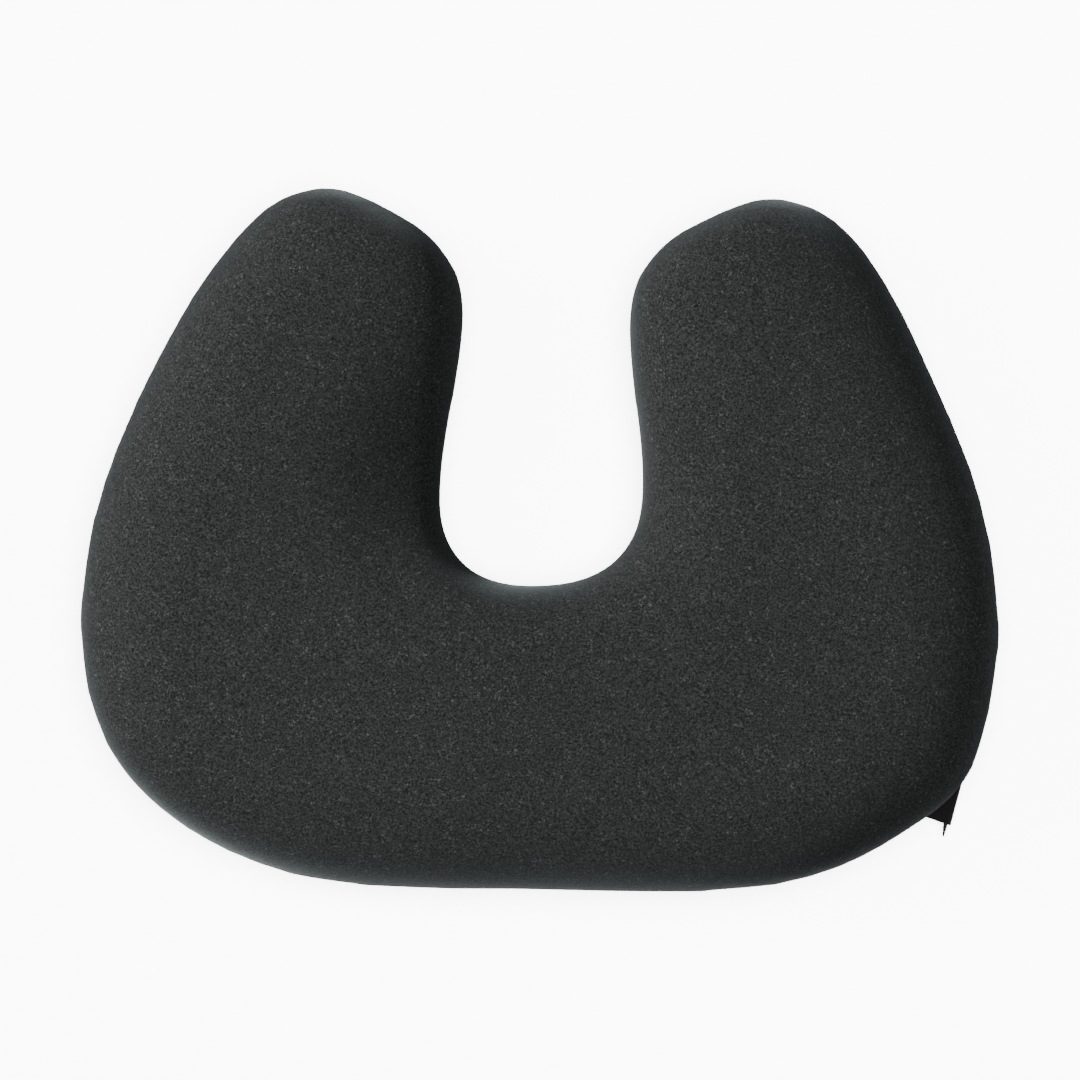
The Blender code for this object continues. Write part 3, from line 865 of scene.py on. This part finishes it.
@dataclass
class CushionBody:
    """Foam block and the knit cover that is stretched over it."""

    cover_stand: float = 0.0022
    slack: float = 0.0020
    smoothing_loss: float = 0.0010
    voxel: float = 0.005
    soften: int = 22
    pressure: float = 4.0
    frames: int = 20
    swell: float = 0.0030
    rest_height: float = 0.0018
    rest_band: float = 0.0008
    still_band: float = 0.003
    channel_y: float = -0.114
    channel_half: float = 0.0155
    channel_slope: float = 0.006
    channel_top: float = 0.0079
    channel_reach: float = 0.182
    edge_fill: float = 0.0027
    edge_drop: float = 0.0011
    edge_height: float = 0.005
    edge_band: float = 0.013
    drop_below: float = 0.009
    foam_shrink: float = 0.0040
    pucker: float = 0.00028
    pucker_height: float = 0.006
    pucker_band: float = 0.014
    puckers_per_metre: float = 95.0
    unevenness: float = 0.0006
    swells_per_metre: float = 13.0
    swell_start: tuple[float, float, float] = (3.1, 7.7, 1.3)
    biases: tuple[Bias, ...] = (
        Bias((-0.110, -0.165), 0.070, out=0.0014),
        Bias((-0.200, -0.115), 0.045, out=0.0011),
        Bias((0.140, -0.158), 0.060, out=0.0018),
        Bias((0.207, -0.114), 0.042, out=0.0050),
        Bias((-0.150, 0.145), 0.045, out=-0.0022),
        Bias((0.080, 0.162), 0.035, out=-0.0032),
        Bias((-0.080, 0.162), 0.035, out=-0.0028),
        Bias((0.190, 0.075), 0.050, out=-0.0012),
        Bias((-0.030, -0.012), 0.045, out=-0.0026, across=-0.0010),
        Bias((0.0, 0.040), 0.080, across=-0.0008),
        Bias((-0.060, 0.032), 0.056, lift=-0.0112),
        Bias((0.066, 0.045), 0.050, lift=-0.0020),
    )

    def grown(self, node: Thing, stand: float, slack: float) -> Mesh:
        """The foam's form, grown or shrunk, on an even grid and with its facets smoothed away.

        Args:
            node: The foam's CAD node.
            stand: How far the new form stands off the old one.
            slack: How much lower than that its top lies.

        Returns:
            The closed mesh.
        """
        bm = merged(node)
        moves = [(v, v.co + v.normal * (stand - slack * abs(v.normal.z))) for v in bm.verts]
        for vert, place in moves:
            vert.co = place
            vert.co.z = max(vert.co.z, self.rest_height)
        mesh = to_mesh(bm, "form")
        thing = bpy.data.objects.new("form", mesh)
        bpy.context.scene.collection.objects.link(thing)
        grid = thing.modifiers.new("grid", "REMESH")
        grid.mode = "VOXEL"
        grid.voxel_size = self.voxel
        mesh = settled(thing)
        bpy.data.objects.remove(thing)
        self.fair(mesh)
        return mesh

    def evened(
        self, bm: bmesh.types.BMesh, values: Sequence[Vector], movable: list[bmesh.types.BMVert], times: int
    ) -> list[Vector]:
        """Averages a vector of each vertex with its neighbours', many times over.

        Args:
            bm: The mesh, whose own places are put back afterwards.
            values: One vector for each vertex.
            movable: The vertices whose vectors may change.
            times: How often they are averaged.

        Returns:
            The evened vectors.
        """
        homes = [v.co.copy() for v in bm.verts]
        for vert, value in zip(bm.verts, values):
            vert.co = value
        for _ in range(times):
            bmesh.ops.smooth_vert(
                bm, verts=movable, factor=0.5, use_axis_x=True, use_axis_y=True, use_axis_z=True
            )
        result = [v.co.copy() for v in bm.verts]
        for vert, home in zip(bm.verts, homes):
            vert.co = home
        return result

    def fair(self, mesh: Mesh) -> None:
        """Smooths the upper surface without losing its broad shape, and fills out its lower edge.

        Args:
            mesh: The form on its grid.
        """
        bm = bmesh.new()
        bm.from_mesh(mesh)
        upper = [v for v in bm.verts if v.co.z > self.rest_height + self.still_band]
        before = [v.co.copy() for v in bm.verts]
        smoothed = self.evened(bm, before, upper, self.soften)
        lost = self.evened(bm, [old - new for old, new in zip(before, smoothed)], upper, self.soften)
        for vert, new, back in zip(bm.verts, smoothed, lost):
            vert.co = new + back
        bm.normal_update()
        for vert in bm.verts:
            flat = Vector((vert.normal.x, vert.normal.y, 0.0))
            near = max(0.0, 1.0 - abs(vert.co.z - self.edge_height) / self.edge_band)
            share = near * min(1.0, flat.length * 1.5)
            vert.co += flat.normalized() * (self.edge_fill * share)
            drop = self.edge_drop * share * (vert.co.z < self.drop_below)
            vert.co.z = max(vert.co.z - drop, self.rest_height)
        bm.to_mesh(mesh)
        bm.free()

    def inflate(self, thing: Thing) -> None:
        """Swells the cover by a short cloth simulation and applies the result.

        Args:
            thing: The cover, whose flat underside stays where it rests.
        """
        start = [v.co.copy() for v in thing.data.vertices]
        outward = [v.normal.copy() for v in thing.data.vertices]
        rests = thing.vertex_groups.new(name="rests")
        rests.add([i for i, co in enumerate(start) if co.z < self.rest_height + self.rest_band], 1.0, "REPLACE")
        cloth = thing.modifiers.new("swell", "CLOTH")
        knit = {
            "quality": 5, "mass": 0.3, "tension_stiffness": 15.0, "compression_stiffness": 15.0,
            "shear_stiffness": 5.0, "bending_stiffness": 0.5, "use_pressure": True,
            "uniform_pressure_force": self.pressure, "vertex_group_mass": rests.name,
        }
        for key, value in knit.items():
            setattr(cloth.settings, key, value)
        cloth.settings.effector_weights.gravity = 0.0
        cloth.collision_settings.use_collision = False
        for frame in range(1, self.frames + 1):
            bpy.context.scene.frame_set(frame)
        applied(thing)
        bpy.context.scene.frame_set(1)
        thing.vertex_groups.clear()
        steps = []
        for vert, home, way in zip(thing.data.vertices, start, outward):
            step = vert.co - home
            rise = step.dot(way)
            step += way * (max(rise, 0.0) - rise)
            if step.length > self.swell:
                step *= self.swell / step.length
            steps.append(step)
        bm = bmesh.new()
        bm.from_mesh(thing.data)
        moving = [v for v, home in zip(bm.verts, start) if home.z >= self.rest_height + self.rest_band]
        steps = self.evened(bm, steps, moving, self.soften // 2)
        for vert, home, step in zip(bm.verts, start, steps):
            vert.co = home + step
            vert.co.z = max(vert.co.z, self.rest_height)
        bm.to_mesh(thing.data)
        bm.free()

    def shape_details(self, mesh: Mesh) -> None:
        """Sewn puckers above the base seam, soft unevenness, and the zip's channel.

        Args:
            mesh: The swollen, subdivided cover.
        """
        bm = bmesh.new()
        bm.from_mesh(mesh)
        bm.normal_update()
        reach = self.channel_half + self.channel_slope
        for vert in bm.verts:
            co, up = vert.co, vert.normal
            if co.z > self.rest_height + self.rest_band * 0.75:
                near = max(0.0, 1.0 - abs(co.z - self.pucker_height) / self.pucker_band)
                ripple = noise.noise(Vector((co.x, co.y, co.z * 0.25)) * self.puckers_per_metre)
                broad = noise.noise(co * self.swells_per_metre + Vector(self.swell_start))
                step = up * (ripple * self.pucker * near * near * 2.0 + broad * self.unevenness)
                vert.co = co + sum((bias.move(co, up) for bias in self.biases), step)
            co = vert.co
            off = abs(co.y - self.channel_y)
            low_enough = co.z < self.channel_top and up.z < 0.3
            if low_enough and off < reach and abs(co.x) < self.channel_reach:
                share = min(1.0, (reach - off) / self.channel_slope)
                co.z = max(co.z, self.rest_height + (self.channel_top - self.rest_height) * share)
        bm.to_mesh(mesh)
        bm.free()

    def build_cover(self, frame: dict, finishes: Finishes) -> Thing:
        """The knit cover, as one crowned closed form.

        Args:
            frame: The loaded frame.
            finishes: The finishes.

        Returns:
            The piece.
        """
        form = self.grown(frame["nodes"]["foam_core"], self.cover_stand + self.smoothing_loss, self.slack)
        cover = shown(form, "knit_cover", finishes.knit)
        self.inflate(cover)
        finer = cover.modifiers.new("finer", "SUBSURF")
        finer.levels = finer.render_levels = 1
        applied(cover)
        self.shape_details(cover.data)
        settle_in(cover, Body.CUSHION, Slot.KNIT, "cover_top")
        return cover

    def build_foam(self, frame: dict, finishes: Finishes) -> Thing:
        """The foam block inside the cover.

        Args:
            frame: The loaded frame.
            finishes: The finishes.

        Returns:
            The piece.
        """
        mesh = self.grown(frame["nodes"]["foam_core"], -self.foam_shrink, 0.0)
        steps = [sum((bias.move(v.co, v.normal) for bias in self.biases), Vector()) for v in mesh.vertices]
        for vert, step in zip(mesh.vertices, steps):
            vert.co.z += min(step.z, 0.0)
        foam = shown(mesh, "foam_block", finishes.foam)
        settle_in(foam, Body.CUSHION, Slot.FOAM, "foam_core")
        return foam

    def build(self, frame: dict, finishes: Finishes) -> None:
        """Builds and dresses the body."""
        self.build_cover(frame, finishes)
        self.build_foam(frame, finishes)


@dataclass
class GripBase:
    """Flat woven base with rubber dots, and the overlocked seam round it."""

    dot_radius: float = 0.0021
    dot_height: float = 0.0006
    dot_pitch: float = 0.0085
    dot_margin: float = 0.0065
    dot_round: float = 0.00025
    row_share: float = 0.866
    rim_round: float = 0.0003
    window_y: float = -0.114
    window_half: float = 0.0075
    band_width: float = 0.0055
    band_drop: float = 0.0002
    seam_out: float = 0.0012
    seam_z: float = 0.0012
    seam_core: float = 0.00055
    turned_in: float = 0.0014
    turned_z: float = 0.0031
    turned_radius: float = 0.0015
    loop_radius: float = 0.00078
    loop_pitch: float = 0.0021
    loop_thread: float = 0.00017
    loop_points: int = 8
    stitch_pitch: float = 0.0032
    stitch_radius: float = 0.00016

    def build_fabric(self, node: Thing, finish: Material) -> Thing:
        """The woven panel, lifted by the height of its dots.

        Args:
            node: The panel's CAD node.
            finish: Its material.

        Returns:
            The piece.
        """
        bm = merged(node)
        for vert in bm.verts:
            vert.co.z = max(vert.co.z, self.dot_height)
        rim = [e for e in bm.edges if e.calc_face_angle(0.0) > math.radians(60)]
        bmesh.ops.bevel(bm, geom=rim, offset=self.rim_round, **BEVEL)
        panel = shown(to_mesh(bm, "base_fabric"), "base_fabric", finish, smooth=False)
        return settle_in(panel, Body.CUSHION, Slot.GRIP, "base_panel")

    def build_band(self, half_length: float, finish: Material) -> Thing:
        """The turned hem round the zip's window.

        Args:
            half_length: Half the window's length.
            finish: Its material.

        Returns:
            The piece.
        """
        bm = bmesh.new()
        reach = self.band_width
        size = Vector((2 * (half_length + reach), 2 * (self.window_half + reach), 1.0))
        bmesh.ops.create_grid(bm, x_segments=1, y_segments=1, size=0.5)
        bmesh.ops.scale(bm, vec=size, verts=bm.verts)
        bmesh.ops.translate(bm, vec=(0.0, self.window_y, self.dot_height), verts=bm.verts)
        ring = bmesh.ops.inset_region(
            bm, faces=bm.faces[:], thickness=reach, use_boundary=True, use_even_offset=True
        )["faces"]
        centre = [f for f in bm.faces if f not in ring]
        bmesh.ops.delete(bm, geom=centre, context="FACES_ONLY")
        bmesh.ops.solidify(bm, geom=bm.faces[:], thickness=self.band_drop)
        low = min(v.co.z for v in bm.verts)
        bmesh.ops.translate(bm, vec=(0.0, 0.0, self.dot_height - self.band_drop - low), verts=bm.verts)
        bmesh.ops.recalc_face_normals(bm, faces=bm.faces)
        band = shown(to_mesh(bm, "window_hem"), "window_hem", finish, smooth=False)
        return settle_in(band, Body.CUSHION, Slot.GRIP)

    def build_dots(self, node: Thing, half_length: float, finish: Material) -> Thing:
        """Rubber dots in staggered rows, clear of the panel's edges and window.

        Args:
            node: The panel's CAD node.
            half_length: Half the window's length.
            finish: Their material.

        Returns:
            The piece.
        """
        dot, radius = bmesh.new(), self.dot_radius
        bmesh.ops.create_cone(
            dot, segments=10, cap_ends=True, radius1=radius, radius2=radius * 0.72, depth=self.dot_height
        )
        bmesh.ops.rotate(dot, matrix=Matrix.Rotation(math.pi, 3, "X"), verts=dot.verts)
        top = [e for e in dot.edges if all(v.co.z < 0 for v in e.verts)]
        bmesh.ops.bevel(dot, geom=top, offset=self.dot_round, **BEVEL)
        bmesh.ops.translate(dot, vec=(0.0, 0.0, self.dot_height / 2 + 0.00001), verts=dot.verts)
        pattern = to_mesh(dot, "dot")
        merged_panel = merged(node)
        tree = BVHTree.FromBMesh(merged_panel)
        merged_panel.free()
        low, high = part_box("base_panel")
        field_mesh = bmesh.new()
        row_pitch, clear = self.dot_pitch * self.row_share, self.band_width + radius * 1.4
        rows = int((high.y - low.y) / row_pitch)
        columns = int((high.x - low.x) / self.dot_pitch) + 1
        angles = [i * math.pi / 4 for i in range(8)]
        ring = [Vector((math.cos(a), math.sin(a), 0.0)) * self.dot_margin for a in angles]
        for row in range(rows + 1):
            for column in range(columns + 1):
                x = low.x + (column + 0.5 * (row % 2)) * self.dot_pitch
                at = Vector((x, low.y + row * row_pitch, -0.01))
                if abs(at.y - self.window_y) < self.window_half + clear and abs(at.x) < half_length + clear:
                    continue
                if any(tree.ray_cast(at + step, UP)[0] is None for step in ring):
                    continue
                before = len(field_mesh.verts)
                field_mesh.from_mesh(pattern)
                field_mesh.verts.ensure_lookup_table()
                bmesh.ops.translate(field_mesh, vec=(at.x, at.y, 0.0), verts=field_mesh.verts[before:])
        dots = shown(to_mesh(field_mesh, "grip_dots"), "grip_dots", finish)
        return settle_in(dots, Body.CUSHION, Slot.GRIP)

    def build_seam(self, outline: Path3, finishes: Finishes) -> None:
        """Overlocked seam: the cover's turned edge, and a core wound with thread.

        Args:
            outline: Edge of the base panel.
            finishes: The finishes.
        """
        line = spaced(beside(outline, self.seam_out), 0.004)
        line = [Vector((p.x, p.y, self.seam_z)) for p in line]
        core = threads("seam_edge", [line], self.seam_core, finishes.tape, sides=1, closed=True)
        settle_in(core, Body.CUSHION, Slot.THREAD)
        inner = [Vector((p.x, p.y, self.turned_z)) for p in beside(line, -self.turned_in)]
        turned = threads("turned_edge", [inner], self.turned_radius, finishes.knit, sides=2, closed=True)
        settle_in(turned, Body.CUSHION, Slot.KNIT)
        fine = spaced(line, self.loop_pitch / self.loop_points)
        fine = fine[: len(fine) // self.loop_points * self.loop_points]
        winding = []
        for i, (before, here, after) in enumerate(zip(fine[-1:] + fine[:-1], fine, fine[1:] + fine[:1])):
            along = (after - before).normalized()
            side = Vector((along.y, -along.x, 0.0))
            angle = 2.0 * math.pi * i / self.loop_points
            round_core = side * math.cos(angle) + UP * math.sin(angle) * 0.92
            winding.append(here + round_core * (self.loop_radius - self.loop_thread))
        loops = threads("overlock_thread", [winding], self.loop_thread, finishes.thread, sides=0, closed=True)
        settle_in(loops, Body.CUSHION, Slot.THREAD, "base_seam")

    def build_topstitch(self, half_length: float, finish: Material) -> Thing:
        """Stitches round the zip's window, through panel and tapes.

        Args:
            half_length: Half the window's length.
            finish: Their material.

        Returns:
            The piece.
        """
        reach_x, reach_y = half_length + self.band_width * 0.45, self.window_half + self.band_width * 0.45
        z = self.dot_height - self.band_drop - self.stitch_radius * 0.4
        ways = ((-1, -1), (1, -1), (1, 1), (-1, 1), (-1, -1))
        corners = [Vector((sx * reach_x, self.window_y + sy * reach_y, z)) for sx, sy in ways]
        paths = running_stitches(corners, self.stitch_pitch, 0.78, UP * (-self.stitch_radius * 0.9))
        stitches = threads("window_topstitch", paths, self.stitch_radius, finish, sides=0)
        return settle_in(stitches, Body.CUSHION, Slot.THREAD)

    def build(self, frame: dict, finishes: Finishes, window_half_length: float) -> None:
        """Builds and dresses the base.

        Args:
            frame: The loaded frame.
            finishes: The finishes.
            window_half_length: Half the length of the zip's window.
        """
        node = frame["nodes"]["base_panel"]
        outline = outline_of(node, 0.0)
        self.build_fabric(node, finishes.grip)
        self.build_band(window_half_length, finishes.grip)
        self.build_dots(node, window_half_length, finishes.rubber)
        self.build_seam(outline, finishes)
        self.build_topstitch(window_half_length, finishes.stitch)


@dataclass
class CoilZip:
    """Coil zip across the base: tapes, coils, stops, slider and puller."""

    loop_pitch: float = 0.0013
    filament: float = 0.00028
    centre_gap: float = 0.00026
    line_y: float = -0.114
    plate_round: float = 0.00018
    tape_round: float = 0.00012
    loop_points: int = 8
    loop_squareness: float = 0.75
    coil_stitch: float = 0.00014

    def build_tape(self, node: Thing, name: str, finish: Material) -> Thing:
        """One woven tape with softened edges."""
        tape = rounded_copy(node, name, self.tape_round, finish)
        return settle_in(tape, Body.CUSHION, Slot.TAPE, node.name)

    def build_coil(self, node: str, name: str, side: float, finish: Material) -> Thing:
        """One coil as a flattened spiral of monofilament.

        Args:
            node: The coil's CAD node.
            name: Name of the piece.
            side: 1 for the coil behind the centre line, -1 for the one before it.
            finish: Its material.

        Returns:
            The piece.
        """
        low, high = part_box(node)
        inner = self.line_y + side * (self.centre_gap + self.filament)
        outer = (high.y if side > 0 else low.y) - side * self.filament
        middle, half = (inner + outer) / 2, abs(outer - inner) / 2
        mid_z, half_z = (low.z + high.z) / 2, (high.z - low.z) / 2 - self.filament
        turns = int((high.x - low.x - 2 * self.filament) / self.loop_pitch)
        step = 2.0 * math.pi / self.loop_points
        path = []
        for i in range(turns * self.loop_points + 1):
            angle = i * step + (math.pi if side > 0 else 0.0)
            flat = math.copysign(abs(math.cos(angle)) ** self.loop_squareness, math.cos(angle))
            x = low.x + self.filament + self.loop_pitch * i / self.loop_points
            path.append(Vector((x, middle - side * half * flat, mid_z + half_z * math.sin(angle))))
        coil = threads(name, [path], self.filament, finish, sides=1)
        return settle_in(coil, Body.CUSHION, Slot.NYLON, node)

    def build_tape_stitches(self, finish: Material) -> Thing:
        """Chain stitches that hold each coil to its tape.

        Args:
            finish: Their material.

        Returns:
            The piece.
        """
        paths: list[Path3] = []
        for node, side in (("zip_coil_front", -1.0), ("zip_coil_rear", 1.0)):
            low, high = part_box(node)
            y = (low.y + high.y) / 2 + side * 0.0003
            z = low.z + self.filament * 0.5
            line = [Vector((low.x + 0.001, y, z)), Vector((high.x - 0.001, y, z))]
            paths += running_stitches(line, self.loop_pitch * 2, 0.85, Vector((0, 0, -0.00012)))
        stitches = threads("coil_stitches", paths, self.coil_stitch, finish, sides=0)
        return settle_in(stitches, Body.CUSHION, Slot.THREAD)

    def build_plate(self, node: Thing, name: str, body: Body, finish: Material) -> Thing:
        """One metal piece with softened edges.

        Args:
            node: Its CAD node.
            name: Name of the piece.
            body: The body that it rides on.
            finish: Its material.

        Returns:
            The piece.
        """
        plate = rounded_copy(node, name, self.plate_round, finish)
        return settle_in(plate, body, Slot.METAL, node.name)

    def build(self, frame: dict, finishes: Finishes) -> None:
        """Builds and dresses the zip.

        Args:
            frame: The loaded frame.
            finishes: The finishes.
        """
        nodes = frame["nodes"]
        self.build_tape(nodes["zip_tape_front"], "tape_front", finishes.tape)
        self.build_tape(nodes["zip_tape_rear"], "tape_rear", finishes.tape)
        self.build_coil("zip_coil_front", "coil_front", -1.0, finishes.nylon)
        self.build_coil("zip_coil_rear", "coil_rear", 1.0, finishes.nylon)
        self.build_tape_stitches(finishes.stitch)
        plates = (
            ("zip_top_stop_front", "top_stop_front_clip", Body.CUSHION),
            ("zip_top_stop_rear", "top_stop_rear_clip", Body.CUSHION),
            ("zip_bottom_stop", "bottom_stop_clip", Body.CUSHION),
            ("zip_slider_body", "slider_casting", Body.SLIDER),
            ("zip_slider_bail", "slider_bail", Body.SLIDER),
            ("zip_puller", "puller_tag", Body.PULL),
        )
        for node, name, body in plates:
            self.build_plate(nodes[node], name, body, finishes.metal)


@dataclass
class TapeEnd:
    """Folded end of the zip's tape at the front right, with its loose thread."""

    edge_round: float = 0.00035
    facing: tuple[float, float] = (0.88, -0.48)
    pull: tuple[float, float, float] = (0.0019, -0.0017, -0.0015)
    hem: float = 0.0015
    stitch_radius: float = 0.00016
    stitch_pitch: float = 0.0026
    strand: float = 0.00075
    tail_length: float = 0.0062
    tail_way: tuple[float, float, float] = (-0.16, -0.98, -0.1)
    tail_root: tuple[float, float, float] = (-0.0022, 0.0008, 0.0)
    tail_points: int = 25
    hem_raise: float = 0.0004
    edge_depth: float = 0.0025

    def build_tab(self, node: Thing, finish: Material) -> tuple[Vector, Vector]:
        """The folded triangle of tape, pulled outwards at its free edge.

        Args:
            node: The tab's CAD node.
            finish: Its material.

        Returns:
            The free edge's front and rear ends.
        """
        # The tab takes the lightened tape finish: its colour carries painted light in place of the light that the
        # shaded tab lacks.
        tab = rounded_copy(node, "tape_end_fold_painted_light", self.edge_round, finish)
        facing, verts = Vector((*self.facing, 0.0)), tab.data.vertices
        outs = [v.co.dot(facing) for v in verts]
        near, far = min(outs), max(outs)
        for vert, out in zip(verts, outs):
            vert.co += Vector(self.pull) * ((out - near) / (far - near))
        free = [v.co.copy() for v, out in zip(verts, outs) if out > far - self.edge_depth]
        edge = sorted(free, key=lambda co: co.y)
        settle_in(tab, Body.CUSHION, Slot.TAPE, node.name)
        return edge[0], edge[-1]

    def build_hem(self, front: Vector, rear: Vector, finish: Material) -> Thing:
        """Stitches along the fold's free edge.

        Args:
            front: The edge's front end.
            rear: Its rear end.
            finish: Their material.

        Returns:
            The piece.
        """
        inward = Vector((-self.facing[0], -self.facing[1], 0.0)) * self.hem
        ends = [front.lerp(rear, share) + inward + UP * self.hem_raise for share in (0.06, 0.94)]
        paths = running_stitches(ends, self.stitch_pitch, 0.7, UP * self.stitch_radius)
        stitches = threads("fold_stitches", paths, self.stitch_radius, finish, sides=0)
        return settle_in(stitches, Body.CUSHION, Slot.THREAD)

    def build_thread(self, node: str, corner: Vector, finish: Material) -> Thing:
        """The loose thread at the fold's corner, of two strands wound round each other.

        Args:
            node: The thread's CAD node.
            corner: The fold's free corner.
            finish: Its material.

        Returns:
            The piece.
        """
        way = Vector(self.tail_way).normalized()
        across = way.cross(UP).normalized()
        root = corner + Vector(self.tail_root)
        paths = []
        for start in (0.0, math.pi):
            path = []
            for i in range(self.tail_points):
                share, turn = i / (self.tail_points - 1), start + i * math.pi / 6
                off = (across * math.cos(turn) + UP * math.sin(turn)) * (self.strand * 0.75)
                path.append(root + way * (self.tail_length * share) + off * (1.0 - share * 0.7))
            paths.append(path)
        tail = threads("loose_thread", paths, self.strand, finish, sides=1, taper=lambda share: 1.0 - 0.5 * share)
        return settle_in(tail, Body.CUSHION, Slot.THREAD, node)

    def build(self, frame: dict, finishes: Finishes) -> None:
        """Builds and dresses the tape's end.

        Args:
            frame: The loaded frame.
            finishes: The finishes.
        """
        front, rear = self.build_tab(frame["nodes"]["zip_end_tab"], finishes.fold)
        self.build_hem(front, rear, finishes.stitch)
        self.build_thread("zip_end_thread", front, finishes.tail)


@dataclass
class Studio:
    """Pale floor, soft light and camera."""

    frame_width: float = 0.5299
    level: float = 0.029
    distance: float = 2.4
    turn: float = math.radians(1.31)
    aim: tuple[float, float] = (-0.0007, 0.0)
    fill: float = 0.15
    fill_colour: Colour = (0.95, 0.98, 1.0)
    floor_half: float = 4.0
    backdrop: float = 3.9
    glow: float = 3.0
    sensor: float = 36.0

    def build_floor(self) -> None:
        """A wide pale floor under a pale dome, which show only from their inner sides."""
        n = Nodes("pale floor")
        tone = n.cloud(3.0, detail=2.0)
        colour = n.blend((0.86, 0.86, 0.86), (0.90, 0.90, 0.90), tone)
        white = {"Emission Color": (1.0, 1.0, 1.0), "Emission Strength": self.glow}
        sockets = {"Base Color": colour, "Roughness": 0.9, **white}
        shader = n.add("ShaderNodeBsdfPrincipled", {}, sockets)["BSDF"]
        clear = n.add("ShaderNodeBsdfTransparent")["BSDF"]
        under = n.add("ShaderNodeNewGeometry")["Backfacing"]
        mixed = n.add("ShaderNodeMixShader", {}, {0: under, 1: shader, 2: clear})["Shader"]
        n.add("ShaderNodeOutputMaterial", {}, {"Surface": mixed})
        bm = bmesh.new()
        bmesh.ops.create_grid(bm, x_segments=1, y_segments=1, size=self.floor_half)
        floor = shown(to_mesh(bm, "floor"), "floor", n.material, smooth=False)
        bm = bmesh.new()
        bmesh.ops.create_uvsphere(bm, u_segments=48, v_segments=24, radius=self.backdrop)
        bmesh.ops.delete(bm, geom=[v for v in bm.verts if v.co.z < -0.01], context="VERTS")
        bmesh.ops.reverse_faces(bm, faces=bm.faces)
        dome = shown(to_mesh(bm, "backdrop"), "backdrop", n.material)
        for piece in (floor, dome):
            piece.visible_diffuse = piece.visible_glossy = piece.visible_shadow = False

    def lamp(self, name: str, place: tuple[float, float, float], size: float, power: float) -> Thing:
        """A round soft light that faces the cushion.

        Args:
            name: Its name.
            place: Where it stands.
            size: Its diameter.
            power: Its power in watts.

        Returns:
            The light.
        """
        data = bpy.data.lights.new(name, "AREA")
        data.energy, data.shape, data.size = power, "DISK", size
        light = bpy.data.objects.new(name, data)
        light.location = place
        light.rotation_euler = (-Vector(place)).to_track_quat("-Z", "Y").to_euler()
        bpy.context.scene.collection.objects.link(light)
        return light

    def build_lights(self) -> None:
        """A large soft light from the left, weaker ones from the right and below, and an even fill."""
        world = bpy.data.worlds.new("studio")
        world.use_nodes = True
        background = world.node_tree.nodes["Background"]
        background.inputs["Color"].default_value = (*self.fill_colour, 1.0)
        background.inputs["Strength"].default_value = self.fill
        bpy.context.scene.world = world
        self.lamp("key", (-4.1, 1.3, 3.3), 2.0, 402.0)
        self.lamp("side", (3.7, -1.2, 1.05), 1.4, 42.0)
        self.lamp("under", (-1.0, -1.4, -2.2), 2.0, 44.0)
        wash = self.lamp("floor wash", (0.3, 0.2, 4.0), 3.0, 1500.0)
        only_floor = bpy.data.collections.new("floor only")
        only_floor.objects.link(bpy.data.objects["floor"])
        wash.light_linking.receiver_collection = only_floor

    def build_camera(self) -> None:
        """A long lens straight above, turned slightly."""
        data = bpy.data.cameras.new("camera")
        data.sensor_width = self.sensor
        data.lens = self.sensor * self.distance / self.frame_width
        camera = bpy.data.objects.new("camera", data)
        camera.location = (*self.aim, self.level + self.distance)
        camera.rotation_euler = (0.0, 0.0, self.turn)
        data.clip_end = 20.0
        bpy.context.scene.collection.objects.link(camera)
        bpy.context.scene.camera = camera

    def build(self) -> None:
        """Sets up the studio."""
        self.build_floor()
        self.build_lights()
        self.build_camera()


def main() -> None:
    """Builds every piece in order."""
    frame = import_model()
    Studio().build()
    finishes = Finishes()
    CushionBody().build(frame, finishes)
    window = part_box("zip_tape_front")[1].x - 0.008
    GripBase().build(frame, finishes, window)
    CoilZip().build(frame, finishes)
    TapeEnd().build(frame, finishes)


if __name__ == "__main__":
    main()
